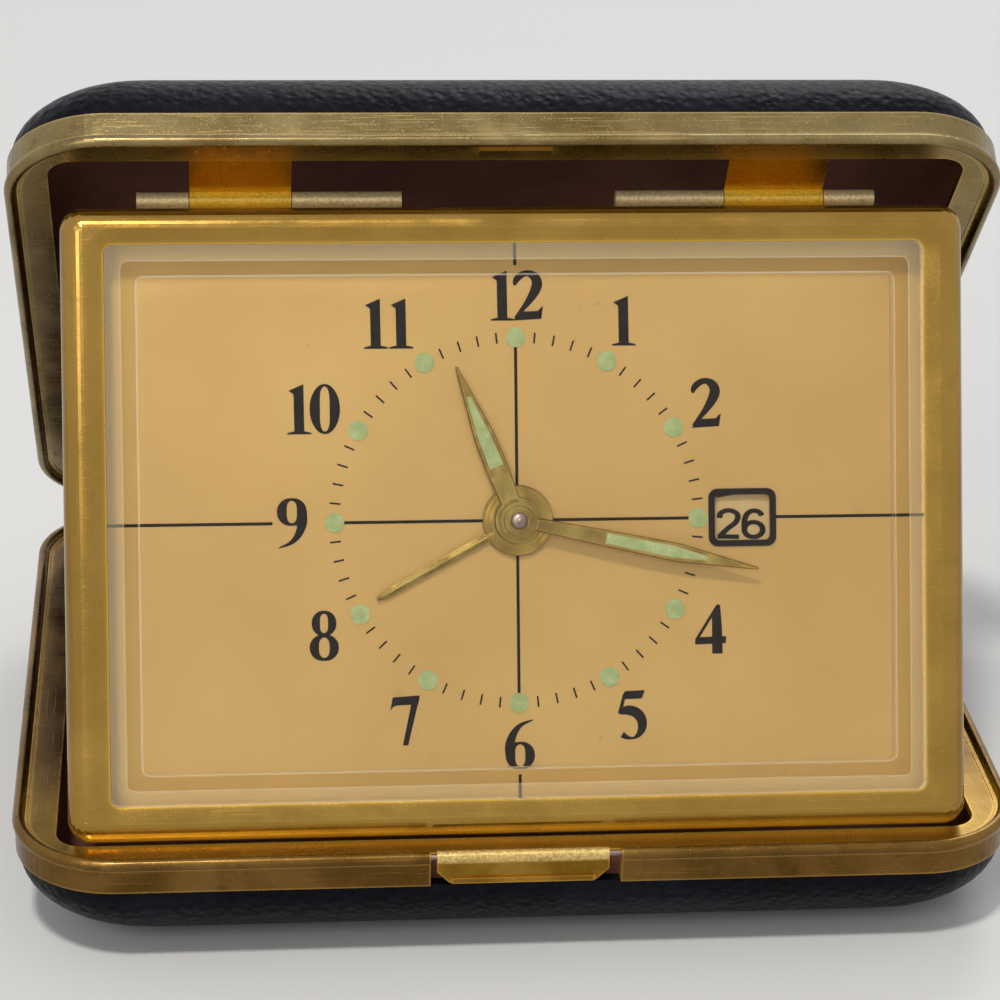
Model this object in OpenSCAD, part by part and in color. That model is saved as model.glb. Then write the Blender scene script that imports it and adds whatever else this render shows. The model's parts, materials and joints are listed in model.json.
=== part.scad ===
// Folding travel alarm clock with a calendar. Two leather covered half shells are hinged at the
// back. The clock housing hangs from the free edge of the lid and props it open as a strut.
// Origin: centre of the flat underside of the base. X to the right, Y to the back, Z up.

/* [Case] */
// Width over the rim beads
case_w = 97.5; // [95:0.5:112]
// Depth over the rim beads, front to back
case_d = 78; // [77:0.5:92]
// Thickness of the closed case
case_h = 25; // [24.5:0.5:32]
// Plan radius of the rim corners
case_corner_r = 10; // [8:0.5:14]
// Height of the metal band of one half
band_h = 3.5; // [3:0.1:4.2]
// Wall of the band
band_t = 1.6; // [1.4:0.1:2.2]
// Radius of the bead along the rim
bead_r = 0.6; // [0.4:0.05:0.8]
// How far the bead stands out from the band
bead_proud = 0.25; // [0.1:0.05:0.4]
// Width of the flange, from the bead inwards
flange_w = 4.3; // [3.4:0.1:4.6]
// Thickness of the flange
flange_t = 0.8; // [0.5:0.1:1.2]
// How far the flange lies below the bead
flange_step = 0.7; // [0.4:0.1:1]
// Plan radius of the opening corners
opening_r = 2.6; // [2:0.2:5]
// Wall of the leather covered shell
cover_t = 1.2; // [0.8:0.1:1.6]
// How far the leather lies inside the band
leather_inset = 0.5; // [0.3:0.1:1]
// How far the dome draws in at its flat
dome_inset = 15; // [10:0.5:16]
// Plan radius of the flat of the dome
dome_corner_r = 7; // [5:0.5:9]
// Fullness of the dome, 2 is an ellipse
dome_power = 2.1; // [2:0.1:3]
// Thickness of the lining
lining_t = 0.4; // [0.3:0.05:0.6]

/* [Case hinge] */
// Distance of the hinge axis behind the band
hinge_back = 1.3; // [1.25:0.05:2]
// Radius of the hinge knuckles
hinge_knuckle_r = 0.95; // [0.8:0.05:1]
// Radius of the hinge pin
hinge_pin_r = 0.5; // [0.35:0.05:0.6]
// Length over all the knuckles
hinge_len = 56; // [40:1:66]
// Thickness of the hinge leaves
hinge_leaf_t = 0.5; // [0.4:0.05:0.6]

/* [Latch] */
// Width of the slot for the latch in the band
latch_slot_w = 18.2; // [14:0.2:22]
// Gap at each end of the latch flap
latch_gap = 0.9; // [0.5:0.1:1.2]
// How far the flap sits left of the middle of its slot
latch_shift = 0.3; // [0:0.05:0.35]
// Thickness of the latch flap
latch_t = 0.8; // [0.6:0.1:1]
// Radius of the rolled top edge of the flap
latch_barrel_r = 0.6; // [0.5:0.05:0.65]
// Radius of the latch pin
latch_pin_r = 0.3; // [0.25:0.05:0.35]
// How far the flap corners are cut back
latch_corner = 1.2; // [0.6:0.1:2]

/* [Clock housing] */
// Gap between the side of the case and the clock housing
face_gap = 5.55; // [5.3:0.05:7]
// Height of the clock housing
face_h = 60; // [57:0.5:60.2]
// Plan radius and edge roll of the housing
face_r = 2.2; // [1.8:0.1:2.4]
// Distance of the bezel front from the clock hinge axis
face_front = 9; // [8.8:0.1:9.4]
// Depth of the bezel shell
bezel_depth = 10; // [9:0.2:10.6]
// Wall of the bezel sides
bezel_t = 0.9; // [0.6:0.1:1.1]
// Wall of the bezel front
bezel_front_t = 1.4; // [1:0.1:1.6]
// Width of the bezel border at the sides
border_x = 4.1; // [3.9:0.1:6]
// Width of the bezel border above and below the window
border_y = 3.5; // [3.3:0.1:4.5]
// Width of the inner slope of the border
slope_w = 1.6; // [1:0.1:2.4]
// Drop of the inner slope of the border
slope_drop = 0.35; // [0.1:0.05:0.5]
// Depth of the rear cover box
cover_depth = 5.7; // [5.4:0.1:6.2]
// How far the rear cover box is inset
cover_inset = 3; // [2:0.2:3.4]
// Plan radius of the rear cover box
cover_r = 4; // [3:0.2:6]
// Roll of the rear cover edge
cover_roll = 1.6; // [1:0.1:2]
// Wall of the rear cover
rear_t = 0.8; // [0.6:0.1:1]

/* [Clock hinge] */
// Distance of the clock hinge axis from the front of the lid
pivot_in = 10.5; // [10:0.1:11.5]
// Distance of the clock hinge axis above the housing
pivot_gap = 1.15; // [1.1:0.05:1.5]
// Radius of the clock hinge knuckles
pivot_knuckle_r = 0.85; // [0.75:0.05:0.85]
// Radius of the clock hinge pins
pivot_pin_r = 0.45; // [0.35:0.05:0.5]
// Inner end of each lid tab
tab_in = 21.2; // [18:0.2:22]
// Width of each lid tab
tab_w = 9.8; // [6:0.1:10]
// Width of the outer knuckle on the housing
knuckle_out_w = 5; // [3:0.2:6]
// Width of the inner knuckle on the housing
knuckle_in_w = 10.6; // [4:0.2:12]

/* [Dial] */
// Thickness of the dial
dial_t = 0.4; // [0.3:0.05:0.5]
// Distance of the dial front from the clock hinge axis
dial_front = 5; // [4.8:0.1:5.2]
// Radius of the minute track
track_r = 17.6; // [15:0.2:18.4]
// Radius of the luminous hour dots
dot_r = 0.95; // [0.6:0.05:1.2]
// Height of the luminous hour dots
dot_t = 0.12; // [0.08:0.02:0.2]
// Distance of the date window from the dial centre
date_x = 21.9; // [21:0.1:22.4]
// Width of the date window frame
date_frame_w = 6.6; // [5.6:0.1:7]
// Height of the date window frame
date_frame_h = 5.6; // [4.6:0.1:6]
// Width of the border of the date window
date_border = 0.6; // [0.4:0.05:0.8]
// Thickness of the crystal window
crystal_t = 1.5; // [1.2:0.1:1.8]
// How far the crystal stands out of the bezel
crystal_proud = 0.6; // [0.3:0.1:0.7]
// Width of the bevel round the crystal
crystal_bevel = 2.9; // [1.5:0.1:3.1]

/* [Hands] */
// Time shown, in minutes after twelve
shown_min = 677; // [0:1:719]
// Alarm time, in minutes after twelve
alarm_min = 483; // [0:1:719]
// Length of the minute hand
minute_len = 23.7; // [18:0.1:24]
// Length of the hour hand
hour_len = 15.9; // [12:0.1:17]
// Length of the alarm hand
alarm_len = 15.5; // [10:0.1:17]
// Thickness of each hand
hand_t = 0.25; // [0.2:0.05:0.3]
// Running gap between hands, wheels and pipes
run = 0.05; // [0.04:0.01:0.08]

/* [Movement] */
// Width of the movement plates
plate_w = 66; // [64:0.5:70]
// Height of the movement plates
plate_h = 46; // [46:0.5:50]
// Thickness of the movement plates
plate_t = 1; // [0.8:0.1:1.2]
// Gap between the movement plates
plate_gap = 6; // [5.8:0.1:6.2]
// Module of the cannon pinion, minute wheel and alarm gears
module_a = 0.25; // [0.25:0.01:0.26]
// Module of the hour wheel gears
module_b = 0.24; // [0.24:0.01:0.25]
// Module of the barrel gears
module_c = 0.3; // [0.28:0.01:0.3]
// Module of the centre wheel gears
module_d = 0.18; // [0.17:0.01:0.18]
// Thickness of the thin wheels
wheel_t = 0.3; // [0.25:0.05:0.35]
// Radius of the centre arbor
arbor_r = 0.5; // [0.4:0.05:0.55]
// Number of days on the date ring
days = 31; // [31:1:31]
// Radius of the centre knob
time_knob_r = 3.2; // [2.6:0.1:3.3]
// Radius of the alarm setting knob
alarm_knob_r = 2.8; // [2.2:0.1:2.9]
// Half the span of the winding keys
key_reach = 4.6; // [3.5:0.1:5]

/* [Hidden] */
$fn = 64;
eps = 0.01;

half_h = case_h / 2;
flange_top = half_h - flange_step;
shell_top = half_h - band_h;
opening_w = case_w - 2 * flange_w;
opening_d = case_d - 2 * flange_w;
glue = 0.03;

// Clearances
fixed_fit = 0.01;
pin_fit = 0.04;
side_fit = 0.1;
foot_fit = 0.3;

face_w = case_w - 2 * face_gap;
open_w = face_w - 2 * border_x;
open_h = face_h - 2 * border_y;

// Case hinge axis, and the triangle of lid, clock and base
hinge_y = case_d / 2 + hinge_back;
lid_reach = hinge_y + case_d / 2 - pivot_in;
foot_angle = 35;
foot_y = -opening_d / 2 + (face_r + foot_fit) * sin(foot_angle);
foot_z = flange_top + (face_r + foot_fit) * cos(foot_angle);
foot_v = -(pivot_gap + face_h - face_r);
foot_w = face_front - face_r;
strut = norm([foot_v, foot_w]);
foot_reach = norm([hinge_y - foot_y, foot_z - half_h]);
foot_rise = atan2(foot_z - half_h, hinge_y - foot_y);
lid_angle = foot_rise + acos((lid_reach ^ 2 + foot_reach ^ 2 - strut ^ 2) / (2 * lid_reach * foot_reach));
pivot_y = hinge_y - lid_reach * cos(lid_angle);
pivot_z = half_h + lid_reach * sin(lid_angle);
lean = atan2(pivot_y - foot_y, pivot_z - foot_z) - atan2(foot_w, -foot_v);
fold_angle = lean + 90 - lid_angle;
echo(lid_angle = lid_angle, lean = lean, fold_angle = fold_angle);
echo(pivot_y = pivot_y, pivot_z = pivot_z, hinge_y = hinge_y, half_h = half_h);

// Levels in the clock, measured forward from the clock hinge axis
bezel_back = face_front - bezel_depth;
lip_t = 0.8;
box_back = bezel_back - lip_t - cover_depth;
box_front = bezel_back - lip_t;
box_w = face_w - 2 * cover_inset;
box_h = face_h - 2 * cover_inset;
dial_y = -(pivot_gap + face_h / 2);
dial_back = dial_front - dial_t;
plate_front = dial_back - 1.8;
plate_in = plate_front - plate_t;
back_plate_in = plate_in - plate_gap;
back_plate_out = back_plate_in - plate_t;
knob_front = box_back - 0.3;
knob_t = 1.6;

// Places of the arbors, seen from the front, from the dial centre
function polar(r, a) = [r * cos(a), r * sin(a)];
minute_teeth = 36;
cannon_teeth = 12;
minute_pinion_teeth = 10;
hour_teeth = 40;
driver_teeth = 80;
alarm_teeth = 40;
alarm_pinion_teeth = 12;
barrel_teeth = 60;
center_pinion_teeth = 10;
center_teeth = 64;
third_pinion_teeth = 8;
third_teeth = 44;
minute_dir = 0;
driver_dir = 270;
alarm_dir = 120;
barrel_dir = 205;
third_dir = 60;
function apart(m, a, b) = m * (a + b) / 2;
minute_at = polar(apart(module_a, cannon_teeth, minute_teeth), minute_dir);
driver_at = polar(apart(module_b, hour_teeth, driver_teeth), driver_dir);
alarm_at = polar(apart(module_a, alarm_teeth, alarm_pinion_teeth), alarm_dir);
barrel_at = polar(apart(module_c, center_pinion_teeth, barrel_teeth), barrel_dir);
third_at = polar(apart(module_d, center_teeth, third_pinion_teeth), third_dir);
third_r = module_d * third_teeth / 2;
fourth_at = third_at + polar(third_r + 1.0, 20);
escape_at = fourth_at + polar(4.2, 15);
pallet_at = escape_at + polar(3.6, 28);
balance_at = pallet_at + polar(4.3, 28);
alarm_barrel_at = [20, -9];
hammer_at = [25, -16];
slide_at = [24, 21.4];
pillar_at = [plate_w / 2 - 2.6, plate_h / 2 - 2.6];

// Levels of the motion works
cannon_z = plate_front + 0.15;
hour_z = cannon_z + 0.5;
alarm_z = hour_z + wheel_t + 0.2;
ring_t = 0.4;
ring_z = dial_back - 0.15 - ring_t;
finger_z = hour_z + wheel_t;
alarm_hand_z = dial_front + 0.35;
hour_hand_z = alarm_hand_z + 0.6;
minute_hand_z = hour_hand_z + 0.6;
hour_pipe_r = arbor_r + run + 0.35;
alarm_pipe_r = hour_pipe_r + run + 0.35;

// Date ring
ring_out_r = 25.3;
ring_tip_r = 17.8;
ring_root_r = 18.8;
guide_r = 0.8;
tooth_foot = 0.9;
tooth_tip = 0.35;

minute_turn = -6 * (shown_min % 60);
hour_turn = -shown_min / 2;
alarm_turn = -alarm_min / 2;

gold = "#c9a24a";
bright = "#e0c070";
leather = "#16171f";
felt = "#2c1a14";
steel = "#c8c8c8";
brass = "#b8934a";
glow = "#b9c98a";

// ---- placing ----
module lid_pose()
    translate([0, hinge_y, half_h]) rotate([-lid_angle, 0, 0]) translate([0, -hinge_y, -half_h])
        children();
module upper_half() lid_pose() translate([0, 0, case_h]) mirror([0, 0, 1]) children();
module face_pose() translate([0, pivot_y, pivot_z]) rotate([90 - lean, 0, 0]) children();
module at_dial(z = 0) face_pose() translate([0, dial_y, z]) children();
module at(p, z = 0) at_dial() translate([p[0], p[1], z]) children();
module along_x() rotate([0, 90, 0]) children();
module both_sides() for (s = [0, 1]) mirror([s, 0, 0]) children();

// ---- outlines ----
module rounded_rect(w, d, r) {
    square([w, d - 2 * r], center = true);
    square([w - 2 * r, d], center = true);
    for (x = [-1, 1], y = [-1, 1])
        translate([x * (w / 2 - r), y * (d / 2 - r)]) circle(r);
}

// Sweeps a profile, whose x is measured from the corner centre, round a rounded rectangle
module swept_ring(w, d, r) {
    for (q = [0:3]) {
        sx = (q == 0 || q == 3) ? 1 : -1;
        sy = q < 2 ? 1 : -1;
        translate([sx * (w / 2 - r), sy * (d / 2 - r), 0])
            rotate([0, 0, 90 * q]) rotate_extrude(angle = 90) children();
    }
    for (s = [0, 180]) rotate([0, 0, s]) {
        translate([w / 2 - r, d / 2 - r, 0]) rotate([90, 0, 0]) linear_extrude(d - 2 * r) children();
        translate([r - w / 2, d / 2 - r, 0]) rotate([90, 0, 90]) linear_extrude(w - 2 * r) children();
    }
}

function rect_ring(w, d, r, z, n = 7) = [
    for (q = [0:3], k = [0:n])
        let (a = 90 * q + 90 * k / n, sx = (q == 0 || q == 3) ? 1 : -1, sy = q < 2 ? 1 : -1)
            [sx * (w / 2 - r) + r * cos(a), sy * (d / 2 - r) + r * sin(a), z]
];

// Closed skin between stacked rings of equal count. The floor lies at ring "fold", where the
// outside turns into the inside.
module ring_shell(rings, fold) {
    n = len(rings[0]);
    m = len(rings);
    side = [
        for (j = [0:m - 1], i = [0:n - 1])
            if (j != fold)
                let (k = (i + 1) % n, a = j * n, b = ((j + 1) % m) * n)
                    each [[a + i, b + i, b + k], [a + i, b + k, a + k]]
    ];
    floor_out = [for (i = [n - 1:-1:0]) fold * n + i];
    floor_in = [for (i = [0:n - 1]) (fold + 1) * n + i];
    polyhedron(points = [for (r = rings) each r], faces = concat(side, [floor_out, floor_in]));
}

// A point of the dome section: how far in, and how high, at angle a, for a wall offset t
function dome_in(a, t) = dome_inset - (dome_inset - leather_inset - t) * cos(a) ^ (2 / dome_power);
function dome_z(a, t) = shell_top - (shell_top - t) * sin(a) ^ (2 / dome_power);
function plan_r(inset) = case_corner_r - inset * (case_corner_r - dome_corner_r) / dome_inset;
function dome_ring(inset, z) =
    rect_ring(case_w - 2 * inset, case_d - 2 * inset, plan_r(inset), z);
dome_steps = [0, 8, 20, 35, 50, 66, 80, 90];

module cover_shape()
    ring_shell(concat(
        [for (a = dome_steps) dome_ring(dome_in(a, 0), dome_z(a, 0))],
        [for (i = [len(dome_steps) - 1:-1:0])
            dome_ring(dome_in(dome_steps[i], cover_t), dome_z(dome_steps[i], cover_t))]
    ), len(dome_steps) - 1);

module lining_shape() {
    out_t = cover_t + glue;
    in_t = out_t + lining_t;
    top = flange_top - flange_t - glue;
    wall_in = max(band_t, leather_inset + cover_t) + glue;
    ring_shell(concat(
        [dome_ring(wall_in, top)],
        [for (a = dome_steps) dome_ring(max(wall_in, dome_in(a, out_t)), dome_z(a, out_t))],
        [for (i = [len(dome_steps) - 1:-1:0])
            let (a = dome_steps[i])
                dome_ring(max(wall_in + lining_t, dome_in(a, in_t)), dome_z(a, in_t))],
        [dome_ring(wall_in + lining_t, top)]
    ), len(dome_steps));
}

// Section of the band, with x from the corner centre
module band_section() {
    translate([case_corner_r - band_t, shell_top])
        square([band_t - bead_proud, band_h - bead_r]);
    translate([case_corner_r - band_t, shell_top])
        square([band_t - bead_r, band_h - flange_step]);
    translate([case_corner_r - bead_r, half_h - bead_r]) circle(bead_r);
}

module rim_shape() {
    swept_ring(case_w, case_d, case_corner_r) band_section();
    translate([0, 0, flange_top - flange_t]) linear_extrude(flange_t) difference() {
        rounded_rect(case_w - 2 * band_t + 0.8, case_d - 2 * band_t + 0.8, case_corner_r - band_t + 0.4);
        rounded_rect(opening_w, opening_d, opening_r);
    }
}

// Rows of knuckles: hinge_knuckles(0) belongs to the base, hinge_knuckles(1) to the lid
knuckle_count = 5;
knuckle_len = hinge_len / knuckle_count;
module hinge_knuckles(first) {
    leaf_top = half_h - hinge_knuckle_r - 0.4;
    leaf_foot = shell_top + 0.2;
    difference() {
        union() {
            translate([-hinge_len / 2, case_d / 2 - bead_proud, leaf_foot])
                cube([hinge_len, hinge_leaf_t + bead_proud, leaf_top - leaf_foot]);
            for (i = [first:2:knuckle_count - 1]) {
                x = -hinge_len / 2 + i * knuckle_len + side_fit / 2;
                w = knuckle_len - side_fit;
                translate([x, case_d / 2, leaf_top - eps])
                    cube([w, hinge_leaf_t, half_h - 0.15 - leaf_top + eps]);
                translate([x, hinge_y, half_h]) along_x() cylinder(r = hinge_knuckle_r, h = w);
            }
        }
        translate([-hinge_len / 2 - 1, hinge_y, half_h])
            along_x() cylinder(r = hinge_pin_r + pin_fit, h = hinge_len + 2);
    }
}

// ---- base ----
module base_cover() color(leather) cover_shape();

latch_y = -case_d / 2 + bead_r + 0.2;
latch_z = half_h - latch_barrel_r - 0.05;
slot_depth = band_t + 0.1;
module base_rim() color(gold) difference() {
    rim_shape();
    translate([-latch_slot_w / 2, -case_d / 2 - 1, shell_top - 1])
        cube([latch_slot_w, slot_depth + 1, band_h + 2]);
    translate([-latch_slot_w / 2 - 1.2, latch_y, latch_z])
        along_x() cylinder(r = latch_pin_r + fixed_fit, h = latch_slot_w + 2.4);
}

module base_lining() color(felt) lining_shape();
module base_hinge_leaf() color(gold) hinge_knuckles(0);

module case_hinge_pin() color(steel)
    translate([-hinge_len / 2 - 0.4, hinge_y, half_h])
        along_x() cylinder(r = hinge_pin_r, h = hinge_len + 0.8);

module latch_pin() color(steel)
    translate([-latch_slot_w / 2 - 1, latch_y, latch_z])
        along_x() cylinder(r = latch_pin_r, h = latch_slot_w + 2);

// Leaf spring behind the flap, standing on the slot floor
spring_t = 0.2;
flap_w = latch_slot_w - 2 * latch_gap;
flap_foot = shell_top + 0.35;
slot_back = -case_d / 2 + slot_depth;
lip_w = flap_w - 2 * latch_corner - 0.4;
lip_h = 0.6;
latch_lip = 0.2;
module latch_spring() color(steel)
    translate([-1.5, slot_back - spring_t - 0.02, shell_top + glue]) {
        cube([3, spring_t, band_h - flange_step - flange_t - glue - 0.05]);
        translate([0, -0.25, 0]) cube([3, 0.25 + spring_t, spring_t]);
    }

module latch_flap() color(gold) translate([-latch_shift, 0, 0]) difference() {
    union() {
        translate([-flap_w / 2, latch_y, latch_z]) along_x() cylinder(r = latch_barrel_r, h = flap_w);
        translate([0, latch_y - latch_barrel_r, 0]) rotate([90, 0, 0]) translate([0, 0, -latch_t])
            linear_extrude(latch_t) polygon([
                [-flap_w / 2, latch_z], [-flap_w / 2, flap_foot + latch_corner],
                [-flap_w / 2 + latch_corner, flap_foot], [flap_w / 2 - latch_corner, flap_foot],
                [flap_w / 2, flap_foot + latch_corner], [flap_w / 2, latch_z]
            ]);
        // finger lip along the lower edge
        translate([-lip_w / 2, latch_y - latch_barrel_r - latch_lip, flap_foot])
            cube([lip_w, 2 * latch_lip, lip_h]);
    }
    translate([-flap_w, latch_y, latch_z])
        along_x() cylinder(r = latch_pin_r + pin_fit, h = 2 * flap_w);
}

// ---- lid ----
module lid_cover() color(leather) upper_half() cover_shape();

catch_w = 7;
module lid_rim() color(gold) upper_half() rim_shape();
module lid_lining() color(felt) upper_half() lining_shape();

// The same rows of knuckles, turned over with the lid
module lid_hinge_leaf() color(gold) upper_half() hinge_knuckles(1);

module latch_catch() color(gold) upper_half()
    translate([-catch_w / 2, -case_d / 2 + band_t + glue, flange_top])
        cube([catch_w, 1.4, flange_step - 0.1]);

// Two bent tabs on the lid flange, rolled into barrels round the clock hinge axis
axis_in_lid = -case_d / 2 + pivot_in;
tab_t = 0.5;
tab_hold = 1.2;
tab_bend = 0.7;
module tab_section() {
    foot = -pivot_in + flange_w;
    low = -flange_step - flange_t;
    polygon([
        [foot - tab_hold, low], [foot - tab_hold, low - tab_t], [foot + tab_bend, low - tab_t],
        [0, -pivot_knuckle_r], [0, -pivot_knuckle_r + tab_t], [foot + tab_bend, low]
    ]);
    circle(pivot_knuckle_r);
}
module clock_hinge_tabs() color(gold) upper_half() both_sides()
    translate([tab_in, axis_in_lid, half_h]) rotate([90, 0, 90]) difference() {
        linear_extrude(tab_w) tab_section();
        translate([0, 0, -1]) cylinder(r = pivot_pin_r + pin_fit, h = tab_w + 2);
    }

// ---- clock housing ----
open_r = 0.9;
module bezel() color(bright) face_pose() translate([0, dial_y, 0]) difference() {
    union() {
        translate([0, 0, bezel_back]) linear_extrude(bezel_depth - face_r)
            rounded_rect(face_w, face_h, face_r);
        translate([0, 0, face_front - face_r]) {
            linear_extrude(face_r) square([face_w - 2 * face_r, face_h - 2 * face_r], center = true);
            swept_ring(face_w, face_h, face_r)
                intersection() {
                    circle(face_r);
                    square(face_r);
                }
        }
    }
    translate([0, 0, bezel_back - 1]) linear_extrude(bezel_depth + 1 - bezel_front_t)
        rounded_rect(face_w - 2 * bezel_t, face_h - 2 * bezel_t, face_r - bezel_t);
    linear_extrude(face_front + 1) rounded_rect(open_w, open_h, open_r);
    // inner slope of the border
    swept_ring(open_w + 2 * slope_w, open_h + 2 * slope_w, open_r + slope_w) polygon([
        [open_r - eps, face_front - slope_drop], [open_r + slope_w, face_front],
        [open_r + slope_w, face_front + 1], [open_r - eps, face_front + 1]
    ]);
}

crystal_seat = face_front - bezel_front_t;
crystal_flange_t = 0.6;
crystal_step = 0.6;
module crystal() color("#dfe6e4", 0.35) at_dial() {
    top = face_front + crystal_proud;
    w = open_w - 2 * side_fit;
    h = open_h - 2 * side_fit;
    difference() {
        union() {
            translate([0, 0, crystal_seat - crystal_flange_t]) linear_extrude(crystal_flange_t - run)
                rounded_rect(open_w + 2, open_h + 2, 0.9);
            translate([0, 0, crystal_seat - crystal_flange_t])
                linear_extrude(top - crystal_step - crystal_seat + crystal_flange_t)
                    rounded_rect(w, h, 0.8);
            // raised window on two low steps
            for (k = [1, 2])
                translate([0, 0, top - crystal_step]) linear_extrude(crystal_step * k / 2)
                    rounded_rect(w - k * crystal_bevel, h - k * crystal_bevel, 0.8);
        }
        translate([0, 0, crystal_seat - 2]) linear_extrude(top - crystal_t - crystal_seat + 2)
            rounded_rect(w - 2 * crystal_bevel, h - 2 * crystal_bevel, 0.8);
    }
}

dial_w = face_w - 2 * bezel_t - 2.6;
dial_h = face_h - 2 * bezel_t - 2.2;
foot_at = [plate_w / 2 - 2, 12];
module dial() color("#cda56a") at_dial() difference() {
    union() {
        translate([0, 0, dial_back]) linear_extrude(dial_t) rounded_rect(dial_w, dial_h, 1);
        for (x = [-1, 1], y = [-1, 1])
            translate([x * foot_at[0], y * foot_at[1], plate_front])
                cylinder(r = 0.8, h = dial_back - plate_front + eps);
    }
    translate([0, 0, dial_back - 1]) cylinder(r = alarm_pipe_r + 0.2, h = dial_t + 2);
    translate([date_x, 0, dial_back - 1]) linear_extrude(dial_t + 2)
        rounded_rect(date_frame_w - 2 * date_border, date_frame_h - 2 * date_border, 0.5);
}

module hour_dots() color(glow) at_dial()
    for (i = [0:11])
        rotate([0, 0, 30 * i]) translate([0, track_r, dial_front]) cylinder(r = dot_r, h = dot_t);

module date_window_frame() color("#1a1512") at_dial() translate([date_x, 0, dial_front])
    linear_extrude(0.15) difference() {
        rounded_rect(date_frame_w, date_frame_h, 0.9);
        rounded_rect(date_frame_w - 2 * date_border, date_frame_h - 2 * date_border, 0.5);
    }

slide_slot = [6, 1.6];
module rear_cover() color(bright) at_dial() difference() {
    union() {
        translate([0, 0, box_front]) linear_extrude(lip_t)
            rounded_rect(face_w - 0.4, face_h - 0.4, face_r - 0.2);
        translate([0, 0, box_back + cover_roll]) linear_extrude(cover_depth - cover_roll)
            rounded_rect(box_w, box_h, cover_r);
        translate([0, 0, box_back]) linear_extrude(cover_roll + eps)
            rounded_rect(box_w - 2 * cover_roll, box_h - 2 * cover_roll, cover_r - cover_roll);
        translate([0, 0, box_back + cover_roll]) mirror([0, 0, 1]) swept_ring(box_w, box_h, cover_r)
            translate([cover_r - cover_roll, 0]) intersection() {
                circle(cover_roll);
                square(cover_roll);
            }
    }
    difference() {
        translate([0, 0, box_back + rear_t]) linear_extrude(cover_depth + 2)
            rounded_rect(box_w - 2 * rear_t, box_h - 2 * rear_t, cover_r - rear_t);
        // bosses that carry the movement
        for (x = [-1, 1], y = [-1, 1])
            translate([x * pillar_at[0], y * pillar_at[1], box_back])
                cylinder(r = 1.8, h = back_plate_out - box_back);
    }
    for (x = [-1, 1], y = [-1, 1]) translate([x * pillar_at[0], y * pillar_at[1], box_back - 1]) {
        cylinder(r = screw_r + 0.1, h = 4);
        cylinder(r = screw_head_r + 0.1, h = 1 + screw_head_t);
    }
    translate([0, 0, box_back - 1]) {
        cylinder(r = arbor_r + 0.1, h = 3);
        translate(alarm_at) cylinder(r = set_arbor_r + 0.1, h = 3);
        translate(barrel_at) cylinder(r = key_arbor_r + 0.1, h = 3);
        translate(alarm_barrel_at) cylinder(r = key_arbor_r + 0.1, h = 3);
        translate([slide_at[0], slide_at[1], 0]) linear_extrude(3)
            square([slide_slot[0], slide_slot[1]], center = true);
        translate([balance_at[0], balance_at[1], 0]) rotate_extrude(angle = 60, start = 60)
            translate([5, 0]) square([1.4, 3]);
    }
}

// Knuckles on the housing, each side of the lid tabs
module clock_hinge_knuckles() color(bright) face_pose() both_sides()
    for (k = [[tab_in - side_fit - knuckle_in_w, knuckle_in_w], [tab_in + tab_w + side_fit, knuckle_out_w]])
        difference() {
            union() {
                translate([k[0], 0, 0]) along_x() cylinder(r = pivot_knuckle_r, h = k[1]);
                translate([k[0], -pivot_gap, -pivot_knuckle_r])
                    cube([k[1], pivot_gap, 0.45]);
                translate([k[0], -pivot_gap, -pivot_knuckle_r]) cube([k[1], 0.25, 2.6]);
            }
            translate([k[0] - 1, 0, 0])
                along_x() cylinder(r = pivot_pin_r + fixed_fit, h = k[1] + 2);
        }

module clock_hinge_pins() color(steel) face_pose() both_sides()
    translate([tab_in - side_fit - knuckle_in_w + 0.3, 0, 0])
        along_x() cylinder(r = pivot_pin_r, h = knuckle_in_w + tab_w + knuckle_out_w + 2 * side_fit - 0.6);

// ---- movement frame ----
stud_r = 0.4;
pivot_r = 0.25;
key_arbor_r = 0.9;
set_arbor_r = 0.4;
module plate_holes(h) {
    cylinder(r = arbor_r + run, h = h);
    translate(alarm_at) cylinder(r = set_arbor_r + run, h = h);
    translate(third_at) cylinder(r = pivot_r + run, h = h);
    translate(balance_at) cylinder(r = pivot_r + run, h = h);
    translate(barrel_at) cylinder(r = key_arbor_r + run, h = h);
    translate(alarm_barrel_at) cylinder(r = key_arbor_r + run, h = h);
}

module movement_front_plate() color(brass) at_dial() {
    difference() {
        translate([0, 0, plate_in]) linear_extrude(plate_t) rounded_rect(plate_w, plate_h, 3);
        translate([0, 0, plate_in - 1]) plate_holes(plate_t + 2);
    }
    translate([minute_at[0], minute_at[1], plate_front - eps])
        cylinder(r = stud_r, h = alarm_z - 0.1 - plate_front);
    translate([driver_at[0], driver_at[1], plate_front - eps])
        cylinder(r = stud_r, h = ring_z - plate_front);
}

module movement_back_plate() color(brass) at_dial() difference() {
    translate([0, 0, back_plate_out]) linear_extrude(plate_t) rounded_rect(plate_w, plate_h, 3);
    translate([0, 0, back_plate_out - 1]) plate_holes(plate_t + 2);
    for (x = [-1, 1], y = [-1, 1])
        translate([x * pillar_at[0], y * pillar_at[1], back_plate_out - 1])
            cylinder(r = screw_r + 0.1, h = plate_t + 2);
}

screw_r = 0.6;
screw_head_r = 1.2;
screw_head_t = 0.5;
module plate_pillars() color(steel) at_dial()
    for (x = [-1, 1], y = [-1, 1])
        translate([x * pillar_at[0], y * pillar_at[1], back_plate_in]) difference() {
            cylinder(r = 1.5, h = plate_gap);
            translate([0, 0, -1]) cylinder(r = screw_r + fixed_fit, h = 4);
        }

module cover_screws() color(steel) at_dial()
    for (x = [-1, 1], y = [-1, 1])
        translate([x * pillar_at[0], y * pillar_at[1], box_back]) difference() {
            union() {
                cylinder(r = screw_r, h = back_plate_in - box_back + 2.5);
                cylinder(r = screw_head_r, h = screw_head_t);
            }
            translate([-2, -0.15, -1]) cube([4, 0.3, 1.25]);
        }

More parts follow.
